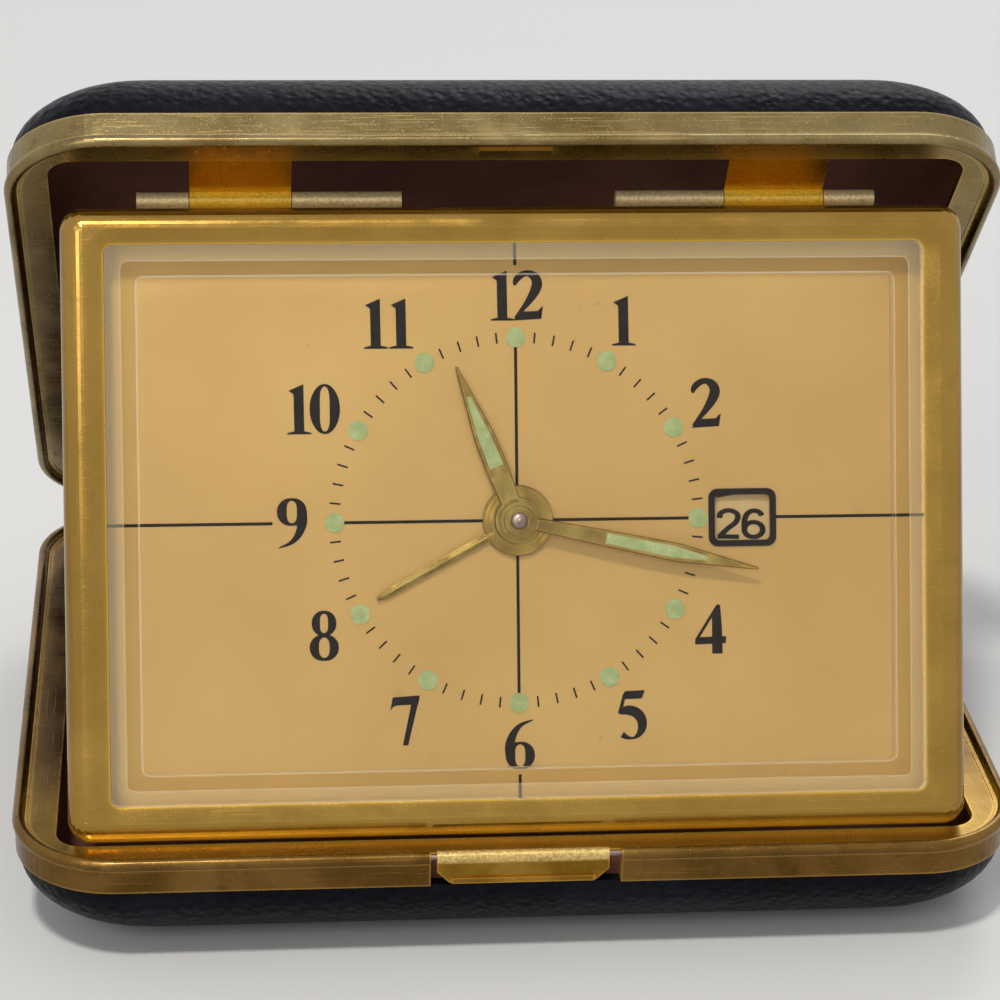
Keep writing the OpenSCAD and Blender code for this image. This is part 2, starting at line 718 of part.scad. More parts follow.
module date_ring_guides() color(steel) at_dial()
    for (a = [45:90:315]) rotate([0, 0, a])
        translate([ring_out_r + side_fit + guide_r, 0, plate_front]) {
            cylinder(r = guide_r + 0.8, h = ring_z - run - plate_front);
            cylinder(r = guide_r, h = ring_z + ring_t - plate_front);
        }

// ---- wheels ----
// Teeth with straight flanks. The first tooth is centred on the X axis.
tip_share = 0.1;
root_share = 0.26;
tip_reach = 0.72;
root_reach = 1.0;
function gear_points(n, m) = [
    for (i = [0:n - 1])
        let (p = 360 / n, a = i * p, tip = m * (n / 2 + tip_reach), root = m * (n / 2 - root_reach))
            each [
                polar(root, a - p * root_share), polar(tip, a - p * tip_share),
                polar(tip, a + p * tip_share), polar(root, a + p * root_share)
            ]
];
module gear(n, m, h, phase = 0) rotate([0, 0, phase]) linear_extrude(h) polygon(gear_points(n, m));

// A spoked wheel: four arms between a hub and the toothed rim
module spoked(n, m, h, phase, hub_r, rim_t) {
    in_r = m * (n / 2 - root_reach) - rim_t;
    difference() {
        gear(n, m, h, phase);
        if (in_r > hub_r + 0.8) translate([0, 0, -1]) difference() {
            cylinder(r = in_r, h = h + 2);
            cylinder(r = hub_r, h = h + 2);
            for (a = [45, 135]) rotate([0, 0, a]) translate([-in_r - 1, -0.35, 0])
                cube([2 * in_r + 2, 0.7, h + 2]);
        }
    }
}

module center_arbor() color(steel) at_dial() {
    translate([0, 0, knob_front - knob_t + 0.4])
        cylinder(r = arbor_r, h = minute_hand_z + hand_t + 0.12 - knob_front + knob_t - 0.4);
    translate([0, 0, cannon_z]) gear(cannon_teeth, module_a, 0.4, minute_dir);
    translate([0, 0, minute_hand_z + hand_t + 0.12]) intersection() {
        sphere(arbor_r);
        cylinder(r = 1, h = 1);
    }
}

// Body rotations: each hand is drawn pointing at twelve and turned to its time
minute_hub_r = 1.8;
module minute_blade() polygon([
    [-0.55, 1], [-0.7, minute_len * 0.35], [-0.12, minute_len], [0.12, minute_len],
    [0.7, minute_len * 0.35], [0.55, 1]
]);
minute_slot = [minute_len * 0.36, minute_len * 0.75];
module minute_slot_shape(gap = 0) polygon([
    [-0.42 + gap, minute_slot[0] + gap], [-0.2 + gap / 2, minute_slot[1] - gap],
    [0.2 - gap / 2, minute_slot[1] - gap], [0.42 - gap, minute_slot[0] + gap]
]);
module minute_hand() color(bright) at_dial(minute_hand_z) rotate([0, 0, minute_turn]) difference() {
    union() {
        linear_extrude(hand_t) minute_blade();
        cylinder(r = minute_hub_r, h = hand_t);
        cylinder(r = 1.1, h = hand_t + 0.1);
    }
    translate([0, 0, -1]) linear_extrude(2) minute_slot_shape();
    translate([0, 0, -1]) cylinder(r = arbor_r + fixed_fit, h = 3);
}
module minute_hand_lume() color(glow) at_dial(minute_hand_z + 0.04) rotate([0, 0, minute_turn])
    linear_extrude(hand_t - 0.08) minute_slot_shape(0.01);

hour_hub_r = 2.2;
hour_slot = [hour_len * 0.34, hour_len * 0.82];
module hour_slot_shape(gap = 0) polygon([
    [-0.62 + gap, hour_slot[0] + gap], [-0.55 + gap, hour_len * 0.55],
    [-0.2 + gap / 2, hour_slot[1] - gap], [0.2 - gap / 2, hour_slot[1] - gap],
    [0.55 - gap, hour_len * 0.55], [0.62 - gap, hour_slot[0] + gap]
]);
module hour_hand() color(bright) at_dial(hour_hand_z) rotate([0, 0, hour_turn]) difference() {
    union() {
        linear_extrude(hand_t) polygon([
            [-0.85, 1], [-1.05, hour_len * 0.33], [-0.95, hour_len * 0.55], [-0.12, hour_len],
            [0.12, hour_len], [0.95, hour_len * 0.55], [1.05, hour_len * 0.33], [0.85, 1]
        ]);
        cylinder(r = hour_hub_r, h = hand_t);
    }
    translate([0, 0, -1]) linear_extrude(2) hour_slot_shape();
    translate([0, 0, -1]) cylinder(r = hour_pipe_r + fixed_fit, h = 3);
}
module hour_hand_lume() color(glow) at_dial(hour_hand_z + 0.04) rotate([0, 0, hour_turn])
    linear_extrude(hand_t - 0.08) hour_slot_shape(0.01);

module hour_wheel() color(brass) at_dial(hour_z) difference() {
    union() {
        spoked(hour_teeth, module_b, wheel_t, minute_dir, 1.6, 0.6);
        cylinder(r = hour_pipe_r, h = hour_hand_z + hand_t + 0.05 - hour_z);
    }
    translate([0, 0, -1]) cylinder(r = arbor_r + run, h = 9);
}

alarm_disc_r = 3.35;
module alarm_hand() color(bright) at_dial(alarm_hand_z) rotate([0, 0, alarm_turn]) difference() {
    union() {
        cylinder(r = alarm_disc_r, h = hand_t);
        translate([-0.34, 2, 0]) cube([0.68, alarm_len - 2.6, hand_t - 0.05]);
        translate([0, 2, 0]) rotate([-90, 0, 0]) linear_extrude(alarm_len - 2)
            polygon([[-0.34, 0], [0, -hand_t - 0.1], [0.34, 0]]);
    }
    translate([0, 0, -1]) cylinder(r = alarm_pipe_r + fixed_fit, h = 3);
}

module alarm_wheel() color(brass) at_dial(alarm_z) difference() {
    union() {
        spoked(alarm_teeth, module_a, wheel_t, alarm_dir, 1.8, 0.6);
        cylinder(r = alarm_pipe_r, h = alarm_hand_z + hand_t + 0.05 - alarm_z);
    }
    translate([0, 0, -1]) cylinder(r = hour_pipe_r + run, h = 5);
}

module minute_wheel() color(brass) at(minute_at) difference() {
    union() {
        translate([0, 0, cannon_z])
            spoked(minute_teeth, module_a, wheel_t, minute_dir + 180 + 180 / minute_teeth, 1.6, 0.6);
        translate([0, 0, cannon_z]) gear(
            minute_pinion_teeth, module_b, hour_z + wheel_t + 0.05 - cannon_z,
            minute_dir + 180 + 180 / minute_pinion_teeth);
    }
    cylinder(r = stud_r + run, h = 9);
}

finger_reach = ring_tip_r - norm(driver_at) - side_fit;
module date_driver() color(brass) at(driver_at) difference() {
    union() {
        translate([0, 0, hour_z])
            spoked(driver_teeth, module_b, wheel_t, driver_dir + 180 + 180 / driver_teeth, 1.8, 0.8);
        translate([0, 0, finger_z - eps]) cylinder(r = 1.4, h = ring_z - finger_z);
        translate([0, 0, finger_z - eps]) linear_extrude(ring_z + ring_t - finger_z)
            polygon([[0, -1.2], [finger_reach - 0.05, -0.3], [finger_reach - 0.05, 0.3], [0, 1.2]]);
    }
    cylinder(r = stud_r + run, h = 9);
}

// A flat ring with one inward tooth for each day
module date_ring() color("#efe6d0") at_dial(ring_z) linear_extrude(ring_t) difference() {
    circle(ring_out_r);
    difference() {
        circle(ring_root_r);
        for (i = [0:days - 1]) rotate(360 * (i + 0.5) / days)
            polygon([
                [ring_root_r + 0.4, -tooth_foot], [ring_tip_r, -tooth_tip], [ring_tip_r, tooth_tip],
                [ring_root_r + 0.4, tooth_foot]
            ]);
    }
}

module alarm_set_arbor() color(steel) at(alarm_at) {
    translate([0, 0, knob_front - knob_t + 0.4])
        cylinder(r = set_arbor_r, h = alarm_z + wheel_t - knob_front + knob_t - 0.4);
    translate([0, 0, alarm_z]) gear(
        alarm_pinion_teeth, module_a, wheel_t, alarm_dir + 180 + 180 / alarm_pinion_teeth);
}

module knob(r, bore) difference() {
    union() {
        cylinder(r = r, h = knob_t);
        // fluted grip
        for (a = [0:20:340]) rotate([0, 0, a]) translate([r - 0.08, 0, 0.3])
            cylinder(r = 0.25, h = knob_t - 0.5);
    }
    translate([0, 0, 0.4]) cylinder(r = bore + fixed_fit, h = knob_t + 1);
}
module time_set_knob() color(bright) at_dial(knob_front - knob_t) knob(time_knob_r - 0.2, arbor_r);
module alarm_set_knob() color(bright) at(alarm_at, knob_front - knob_t) knob(alarm_knob_r - 0.2, set_arbor_r);

module center_wheel() color(brass) at_dial() difference() {
    union() {
        translate([0, 0, plate_in - 1.2]) spoked(center_teeth, module_d, wheel_t, third_dir, 2, 0.7);
        translate([0, 0, back_plate_in + 0.3])
            gear(center_pinion_teeth, module_c, plate_gap - 1.4, barrel_dir);
    }
    translate([0, 0, back_plate_in - 1]) cylinder(r = arbor_r + fixed_fit, h = 9);
}

barrel_r = 8.1;
barrel_z = back_plate_in + 0.6;
module time_barrel() color(brass) at(barrel_at) difference() {
    union() {
        translate([0, 0, barrel_z])
            gear(barrel_teeth, module_c, 0.7, barrel_dir + 180 + 180 / barrel_teeth);
        translate([0, 0, barrel_z]) cylinder(r = barrel_r, h = 3.6);
        translate([0, 0, barrel_z]) cylinder(r = 1.8, h = plate_gap - 0.8);
    }
    translate([0, 0, barrel_z - 1]) cylinder(r = key_arbor_r + run, h = 9);
}

module key_arbor_and_wings(turn) rotate([0, 0, turn]) {
    cylinder(r = key_arbor_r, h = plate_front - knob_front + knob_t);
    cylinder(r = 1.7, h = knob_t);
    // folding wings, drawn flat
    for (s = [0, 180]) rotate([0, 0, s]) linear_extrude(0.9) difference() {
        union() {
            translate([0, -0.9]) square([key_reach - 1.5, 1.8]);
            translate([key_reach - 1.5, 0]) circle(1.5);
        }
        translate([key_reach - 1.5, 0]) circle(0.6);
    }
}
module time_key() color(bright) at(barrel_at, knob_front - knob_t) key_arbor_and_wings(30);
module alarm_key() color(bright) at(alarm_barrel_at, knob_front - knob_t) key_arbor_and_wings(-20);

alarm_barrel_r = 6.6;
module alarm_barrel() color(brass) at(alarm_barrel_at) difference() {
    union() {
        translate([0, 0, back_plate_in + 0.2]) cylinder(r = 1.8, h = plate_gap - 0.4);
        translate([0, 0, back_plate_in + 0.8]) cylinder(r = alarm_barrel_r, h = 3.2);
    }
    translate([0, 0, back_plate_in - 1]) cylinder(r = key_arbor_r + run, h = 9);
}

module third_wheel() color(brass) at(third_at) {
    translate([0, 0, back_plate_out]) cylinder(r = pivot_r, h = plate_front - back_plate_out);
    translate([0, 0, back_plate_in + 0.2]) cylinder(r = 0.35, h = plate_gap - 0.4);
    translate([0, 0, plate_in - 1.4])
        gear(third_pinion_teeth, module_d, 0.7, third_dir + 180 + 180 / third_pinion_teeth);
    translate([0, 0, plate_in - 2.4]) spoked(third_teeth, module_d, wheel_t, 0, 1, 0.6);
}

// The train is opened here: the pinion stands clear of the third wheel
module fourth_wheel() color(brass) at(fourth_at) {
    translate([0, 0, back_plate_in]) cylinder(r = 0.3, h = plate_gap);
    translate([0, 0, plate_in - 2.6]) gear(8, 0.16, 0.7, 0);
    translate([0, 0, plate_in - 3.4]) spoked(40, 0.16, wheel_t, 0, 0.9, 0.5);
}

module escape_wheel() color(steel) at(escape_at) {
    translate([0, 0, back_plate_in]) cylinder(r = 0.3, h = plate_gap);
    translate([0, 0, plate_in - 3.6]) gear(8, 0.16, 0.7, 0);
    translate([0, 0, plate_in - 1.4]) linear_extrude(0.25) polygon([
        for (i = [0:14]) each [polar(1.9, 24 * i), polar(2.5, 24 * i + 3), polar(2.5, 24 * i + 5)]
    ]);
}

module pallet_lever() color(steel) at(pallet_at) rotate([0, 0, 28]) {
    translate([0, 0, plate_in - 2.2]) cylinder(r = 0.3, h = 2.2);
    translate([0, 0, plate_in - 1.1]) linear_extrude(0.25) polygon([
        [-0.3, -2.2], [0.3, -2.2], [0.4, -0.5], [2.6, -0.15], [2.6, 0.15], [0.4, 0.5],
        [0.3, 2.2], [-0.3, 2.2]
    ]);
}

balance_r = 4.4;
balance_z = back_plate_in + 1.6;
module balance_wheel() color(brass) at(balance_at) {
    translate([0, 0, back_plate_out]) cylinder(r = pivot_r, h = plate_front - back_plate_out);
    translate([0, 0, back_plate_in + 0.3]) cylinder(r = 0.4, h = plate_gap - 0.6);
    translate([0, 0, balance_z]) difference() {
        cylinder(r = balance_r, h = 0.5);
        translate([0, 0, -1]) difference() {
            cylinder(r = balance_r - 0.6, h = 3);
            cylinder(r = 0.9, h = 3);
            translate([-balance_r, -0.35, 0]) cube([2 * balance_r, 0.7, 3]);
        }
    }
}

spring_turns = 4;
spring_in_r = 0.8;
spring_out_r = 3;
function spiral_r(a) = spring_in_r + (spring_out_r - spring_in_r) * a / (360 * spring_turns);
module hairspring() color("#5a6ea8") at(balance_at, back_plate_in + 0.5) {
    linear_extrude(0.3) polygon(concat(
        [for (a = [0:15:360 * spring_turns]) polar(spiral_r(a) + 0.06, a)],
        [for (a = [360 * spring_turns:-15:0]) polar(spiral_r(a) - 0.06, a)]
    ));
    translate([spring_out_r + 0.1, 0, -0.5]) cylinder(r = 0.35, h = 0.85);
}

module alarm_hammer() color(steel) at(hammer_at) {
    translate([0, 0, back_plate_in + 0.1]) cylinder(r = 0.5, h = plate_gap - 0.2);
    translate([0, 0, back_plate_in + 4.6]) {
        linear_extrude(0.5) polygon([[-0.5, 0], [0.5, 0], [0.4, -4.4], [-0.4, -4.4]]);
        translate([0, -4.4, -0.6]) cylinder(r = 1.1, h = 1.6);
    }
}

module alarm_stop_slide() color(bright) at([slide_at[0] - 1.2, slide_at[1]]) {
    // plate inside, button outside, and the stem in the slot
    translate([-2.6, -1.3, box_back + rear_t + run]) cube([5.2, 2.6, 0.4]);
    translate([-0.9, -slide_slot[1] / 2 + side_fit, box_back - 0.7])
        cube([1.8, slide_slot[1] - 2 * side_fit, rear_t + 0.8]);
    translate([-1.4, -1.1, box_back - 1.1]) cube([2.8, 2.2, 1.1 - run]);
}

module regulator_lever() color(steel) at(balance_at) {
    lever_z = back_plate_out - 0.35;
    translate([0, 0, lever_z]) difference() {
        union() {
            cylinder(r = 1.2, h = 0.3);
            rotate([0, 0, 90]) translate([0, -0.35, 0]) cube([5.9, 0.7, 0.3]);
        }
        translate([0, 0, -1]) cylinder(r = pivot_r + 0.1, h = 3);
    }
    rotate([0, 0, 90]) translate([5.7, 0, box_back - 0.3])
        cylinder(r = 0.35, h = lever_z - box_back + 0.4);
}

base_cover();
base_rim();
base_lining();
base_hinge_leaf();
case_hinge_pin();
latch_pin();
latch_spring();
latch_flap();
lid_cover();
lid_rim();
lid_lining();
lid_hinge_leaf();
latch_catch();
clock_hinge_tabs();
bezel();
crystal();
dial();
hour_dots();
date_window_frame();
rear_cover();
clock_hinge_knuckles();
clock_hinge_pins();
movement_front_plate();
movement_back_plate();
plate_pillars();
cover_screws();
date_ring_guides();
center_arbor();
minute_hand();
minute_hand_lume();
center_wheel();
time_set_knob();
hour_wheel();
hour_hand();
hour_hand_lume();
minute_wheel();
date_driver();
date_ring();
alarm_wheel();
alarm_hand();
alarm_set_arbor();
alarm_set_knob();
time_barrel();
time_key();
alarm_barrel();
alarm_key();
third_wheel();
fourth_wheel();
escape_wheel();
pallet_lever();
balance_wheel();
hairspring();
alarm_hammer();
alarm_stop_slide();
regulator_lever();
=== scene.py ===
import json
import math

import bmesh
import bpy
from mathutils import Matrix, Vector


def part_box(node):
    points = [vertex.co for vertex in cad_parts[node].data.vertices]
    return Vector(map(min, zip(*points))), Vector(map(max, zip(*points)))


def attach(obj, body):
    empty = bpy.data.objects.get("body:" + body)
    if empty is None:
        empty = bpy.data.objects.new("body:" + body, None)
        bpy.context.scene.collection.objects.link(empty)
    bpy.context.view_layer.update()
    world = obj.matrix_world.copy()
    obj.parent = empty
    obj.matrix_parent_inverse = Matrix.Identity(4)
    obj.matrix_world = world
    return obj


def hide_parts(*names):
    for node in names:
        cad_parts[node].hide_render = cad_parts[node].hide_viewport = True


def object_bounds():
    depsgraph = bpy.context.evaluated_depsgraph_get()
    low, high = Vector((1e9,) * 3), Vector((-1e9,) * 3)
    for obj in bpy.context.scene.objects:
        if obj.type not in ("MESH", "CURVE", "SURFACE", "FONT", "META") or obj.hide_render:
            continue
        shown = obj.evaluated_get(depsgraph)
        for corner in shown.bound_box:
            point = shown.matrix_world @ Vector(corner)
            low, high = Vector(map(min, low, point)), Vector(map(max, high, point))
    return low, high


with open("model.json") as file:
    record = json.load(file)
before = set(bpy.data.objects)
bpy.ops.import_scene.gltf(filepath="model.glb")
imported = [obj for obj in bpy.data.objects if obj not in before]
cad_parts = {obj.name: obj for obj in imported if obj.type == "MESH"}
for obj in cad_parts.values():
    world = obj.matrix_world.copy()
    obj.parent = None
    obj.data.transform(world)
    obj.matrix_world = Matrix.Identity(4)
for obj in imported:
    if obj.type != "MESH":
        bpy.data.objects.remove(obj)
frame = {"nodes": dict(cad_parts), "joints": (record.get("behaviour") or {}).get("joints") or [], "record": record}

cad_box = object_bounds()

# Everything in Blender is in metres. Lengths in this file are in millimetres unless they say so
MM = 0.001
JOINTS = {j["name"]: j for j in frame["joints"]}
NODES = frame["nodes"]


# ---- the frame of the dial: x to the right, y up the face, z out of it ----
def joint_place(name):
    """A joint's place and its axis."""
    return Vector(JOINTS[name]["pos_m"]), Vector(JOINTS[name]["axis"])


dial_centre, into_clock = joint_place("time_setting")
FACE_OUT = -into_clock.normalized()
FACE_RIGHT = Vector((1, 0, 0))
FACE_UP = FACE_OUT.cross(FACE_RIGHT)


def on_face(x, y, z):
    """A point given in millimetres on the dial, as a point of the row frame."""
    return dial_centre + (FACE_RIGHT * x + FACE_UP * y + FACE_OUT * z) * MM


def face_span(node):
    """Lowest and highest x, y, z of a CAD node in the dial's frame, in millimetres."""
    offsets = [v.co - dial_centre for v in NODES[node].data.vertices]
    spans = []
    for axis in (FACE_RIGHT, FACE_UP, FACE_OUT):
        along = [p.dot(axis) / MM for p in offsets]
        spans.append((min(along), max(along)))
    return spans


# ---- the frame of the lid ----
hinge_place, _ = joint_place("case_hinge")
pivot_place, _ = joint_place("clock_hinge")
LID_ANGLE = math.atan2(pivot_place.z - hinge_place.z, hinge_place.y - pivot_place.y)
CASE_H = 2 * hinge_place.z / MM


def in_base(p):
    """A point of the lower half, from millimetres to metres."""
    return Vector(p) * MM


def in_lid(p):
    """The same point of the upper half: the base turned over and swung open."""
    closed = Vector((p[0], p[1], CASE_H - p[2])) * MM
    swing = Matrix.Rotation(-LID_ANGLE, 4, "X")
    return hinge_place + swing @ (closed - hinge_place)


# ---- node helpers ----
BEVEL_SAMPLES = 4
HOLLOW_SAMPLES = 6
# How far apart two depths may be, in metres, for COMPARE to take them as one
SAME_DEPTH = 0.1 * MM
# Width over which the edge of a strip along a hinge line fades out
STRIP_FADE = 0.15


class Finish:
    """A material with a few shortcuts for its nodes. Sizes are in millimetres."""

    def __init__(self, name, **sockets):
        self.material = bpy.data.materials.new(name)
        self.material.use_nodes = True
        self.tree = self.material.node_tree
        self.shader = self.tree.nodes["Principled BSDF"]
        self.place = self.node("ShaderNodeTexCoord").outputs["Object"]
        for socket, value in sockets.items():
            self.set(socket.replace("_", " "), value)

    def node(self, kind, **inputs):
        made = self.tree.nodes.new(kind)
        for key, value in inputs.items():
            self.feed(made, key, value)
        return made

    def feed(self, made, key, value):
        """Links or sets one input of a node."""
        if isinstance(value, bpy.types.NodeSocket):
            self.tree.links.new(value, made.inputs[key])
        elif made.inputs[key].type == "RGBA":
            made.inputs[key].default_value = (*value, 1)
        else:
            made.inputs[key].default_value = value

    def set(self, socket, value):
        self.feed(self.shader, socket, value)

    def stretched(self, stretch):
        """The place on the object, scaled along each axis."""
        node = self.node("ShaderNodeMapping", Vector=self.place)
        node.inputs["Scale"].default_value = stretch
        return node.outputs["Vector"]

    def noise(self, size, detail=3, rough=0.5, stretch=None, warp=0):
        vector = self.stretched(stretch) if stretch else self.place
        node = self.node("ShaderNodeTexNoise", Vector=vector)
        node.inputs["Scale"].default_value = 1 / (size * MM)
        node.inputs["Detail"].default_value = detail
        node.inputs["Roughness"].default_value = rough
        node.inputs["Distortion"].default_value = warp
        return node.outputs["Fac"]

    def cells(self, size):
        """Softly rounded cells, as in grained leather."""
        node = self.node("ShaderNodeTexVoronoi", Vector=self.place)
        node.feature = "SMOOTH_F1"
        node.inputs["Scale"].default_value = 1 / (size * MM)
        node.inputs["Smoothness"].default_value = 0.5
        return node.outputs["Distance"]

    def span(self, value, low, high, to_low=0.0, to_high=1.0):
        """The value, brought from one range to another and kept within it."""
        node = self.node("ShaderNodeMapRange", Value=value)
        ends = {"From Min": low, "From Max": high, "To Min": to_low, "To Max": to_high}
        for key, number in ends.items():
            node.inputs[key].default_value = number
        return node.outputs["Result"]

    def math(self, operation, a, b):
        node = self.node("ShaderNodeMath")
        node.operation = operation
        node.inputs[2].default_value = SAME_DEPTH
        for index, value in enumerate((a, b)):
            self.feed(node, index, value)
        return node.outputs[0]

    def mix(self, fac, a, b):
        node = self.node("ShaderNodeMix")
        node.data_type = "RGBA"
        for key, value in ((0, fac), (6, a), (7, b)):
            self.feed(node, key, value)
        return node.outputs[2]

    def edges(self, width):
        """About 1 along convex edges and 0 on flats, from a rounded normal."""
        round_normal = self.node("ShaderNodeBevel")
        round_normal.samples = BEVEL_SAMPLES
        round_normal.inputs["Radius"].default_value = width * MM
        flat_normal = self.node("ShaderNodeNewGeometry").outputs["Normal"]
        dot = self.node("ShaderNodeVectorMath")
        dot.operation = "DOT_PRODUCT"
        self.feed(dot, 0, round_normal.outputs["Normal"])
        self.feed(dot, 1, flat_normal)
        return self.span(dot.outputs["Value"], 0.995, 0.9)

    def recess(self, reach):
        """0 in the open and towards 1 deep in corners and under other pieces."""
        node = self.node("ShaderNodeAmbientOcclusion")
        node.samples = HOLLOW_SAMPLES
        node.inputs["Distance"].default_value = reach * MM
        return self.span(node.outputs["AO"], 0.85, 0.25)

    def near_line(self, place, reach):
        """1 within reach of the line along x through the place, and 0 beyond it."""
        value = self.place
        for operation, other in (("SUBTRACT", place), ("MULTIPLY", (0, 1, 1)), ("LENGTH", None)):
            step = self.node("ShaderNodeVectorMath")
            step.operation = operation
            self.feed(step, 0, value)
            if other is not None:
                step.inputs[1].default_value = other
            value = step.outputs["Vector" if other is not None else "Value"]
        return self.span(value, (reach + STRIP_FADE) * MM, reach * MM)

    def bump(self, height, strength, depth):
        node = self.node("ShaderNodeBump", Height=height)
        node.inputs["Strength"].default_value = strength
        node.inputs["Distance"].default_value = depth * MM
        self.feed(self.shader, "Normal", node.outputs["Normal"])


def scratches(finish, length, width, direction):
    """Fine straight scratches: noise drawn out along one direction."""
    stretch = tuple(width / length if d else 1 for d in direction)
    lines = finish.noise(width, 2, 0.6, stretch)
    return finish.span(lines, 0.62, 0.74)


# ---- materials ----
def leather():
    """Black grained leather, with bluish patches of painted sheen."""
    f = Finish("leather", Roughness=0.5, Specular_IOR_Level=0.06)
    grain = f.cells(0.85)
    pores = f.noise(0.25, 4, 0.6)
    # Painted sheen: bluish patches over the grain
    bluish_sheen = f.span(f.noise(14, 4, 0.6), 0.5, 0.75)
    base = f.mix(grain, (0.001, 0.001, 0.002), (0.005, 0.006, 0.010))
    f.set("Base Color", f.mix(f.math("MULTIPLY", bluish_sheen, 0.3), base, (0.016, 0.020, 0.032)))
    surface = f.math("ADD", grain, f.math("MULTIPLY", pores, 0.5))
    f.set("Roughness", f.span(surface, 0.2, 1.2, 0.24, 0.48))
    f.bump(f.math("ADD", grain, f.math("MULTIPLY", pores, 0.35)), 0.95, 0.16)
    return f.material


# Painted reflection: gold that lies in a hollow is coloured a warm glow, as if it mirrored other gold
PAINTED_HOLLOW_REFLECTION = (0.84, 0.53, 0.06)


def times(colour, factor):
    """A colour made brighter or darker."""
    return tuple(min(1, c * factor) for c in colour)


def gilt(name, bright, deep, dark, rough, wear, scratch, mottle, hollow, rim, shine, frosted_lit_strip=None):
    """Gilt brass: mottled between two colours, as random tone and painted reflection, with dark
    patina, a painted highlight along the edges, and scratches.

    wear and scratch say how strongly patina and scratches show. mottle is the size of the
    patches, hollow the reach of the painted warm reflection in hollows or 0, rim the width of
    the painted edge highlight and shine its brightness. The last argument is (place, reach,
    colour, metallic): a grained strip along a hinge line, brightened as painted light.
    """
    f = Finish(name, Metallic=1.0)
    # Mottled tone: partly random tone of the gilding, partly painted reflection
    tone_and_reflection = f.span(f.noise(mottle, 4, 0.55, warp=0.6), 0.38, 0.64)
    patina = f.span(f.noise(3.1, 6, 0.66), 0.56, 0.78)
    specks = f.span(f.noise(0.45, 3, 0.7), 0.66, 0.76)
    edge = f.edges(rim)
    lines = f.math("MAXIMUM", scratches(f, 9, 0.10, (1, 0, 0)), scratches(f, 6, 0.12, (0, 1, 0)))
    colour = f.mix(tone_and_reflection, deep, bright)
    colour = f.mix(f.math("MULTIPLY", patina, wear), colour, dark)
    colour = f.mix(f.math("MULTIPLY", specks, wear * 0.6), colour, dark)
    # Painted highlight: the edges lightened towards a brighter gold
    colour = f.mix(f.math("MULTIPLY", edge, 0.6), colour, times(bright, shine))
    if hollow:
        # Painted reflection: a warm colour deep in hollows, where the gold also turns less metallic unless it has
        # a hinge strip
        deep_in = f.recess(hollow)
        colour = f.mix(f.math("MULTIPLY", deep_in, 0.8), colour, PAINTED_HOLLOW_REFLECTION)
        if not frosted_lit_strip:
            f.set("Metallic", f.span(deep_in, 0, 1, 1.0, 0.55))
    colour = f.mix(f.math("MULTIPLY", lines, scratch), colour, times(bright, 1.7))
    # Painted light: a grained strip along the hinge line, made brighter and less metallic
    if frosted_lit_strip:
        place, reach, pale, metal = frosted_lit_strip
        strip = f.near_line(place, reach)
        grains = f.span(f.noise(0.28, 3, 0.7), 0.36, 0.6, 0.35, 1)
        colour = f.mix(f.math("MULTIPLY", strip, grains), colour, pale)
        f.set("Metallic", f.span(strip, 0, 1, 1.0, metal))
    f.set("Base Color", colour)
    smudge = f.span(f.noise(5, 5, 0.6), 0.35, 0.7, rough, rough + 0.16)
    dull = f.math("MULTIPLY", patina, wear * 0.3)
    f.set("Roughness", f.math("ADD", f.math("ADD", smudge, dull), f.math("MULTIPLY", lines, 0.15)))
    cut = f.math("MULTIPLY", lines, scratch)
    f.bump(f.math("SUBTRACT", f.math("MULTIPLY", f.noise(1.6, 3), 0.5), cut), 0.16, 0.05)
    return f.material


def flock():
    """Brown flocked lining with brushed patches."""
    f = Finish(
        "flock", Roughness=0.95, Specular_IOR_Level=0.2, Sheen_Weight=0.25, Sheen_Roughness=0.5)
    f.set("Sheen Tint", (0.35, 0.16, 0.12))
    patches = f.span(f.noise(9, 4, 0.6), 0.35, 0.7)
    f.set("Base Color", f.mix(patches, (0.150, 0.062, 0.042), (0.230, 0.098, 0.066)))
    f.bump(f.noise(0.16, 4, 0.7), 0.8, 0.08)
    return f.material


def plain_metal(name, colour, rough, grain=(1, 0, 0)):
    """Brushed or turned metal with a fine lengthwise grain."""
    f = Finish(name, Metallic=1.0)
    lines = f.noise(0.08, 2, 0.5, tuple(0.05 if g else 1 for g in grain))
    stain = f.span(f.noise(4, 5, 0.6), 0.5, 0.8)
    f.set("Base Color", f.mix(f.math("MULTIPLY", stain, 0.5), colour, times(colour, 0.55)))
    f.set("Roughness", f.span(lines, 0.3, 0.7, rough, rough + 0.14))
    f.bump(lines, 0.25, 0.02)
    return f.material


# How far the two steps of the crystal's border lie below its top
LOW_STEP_FALL = 0.6
HIGH_STEP_FALL = 0.3


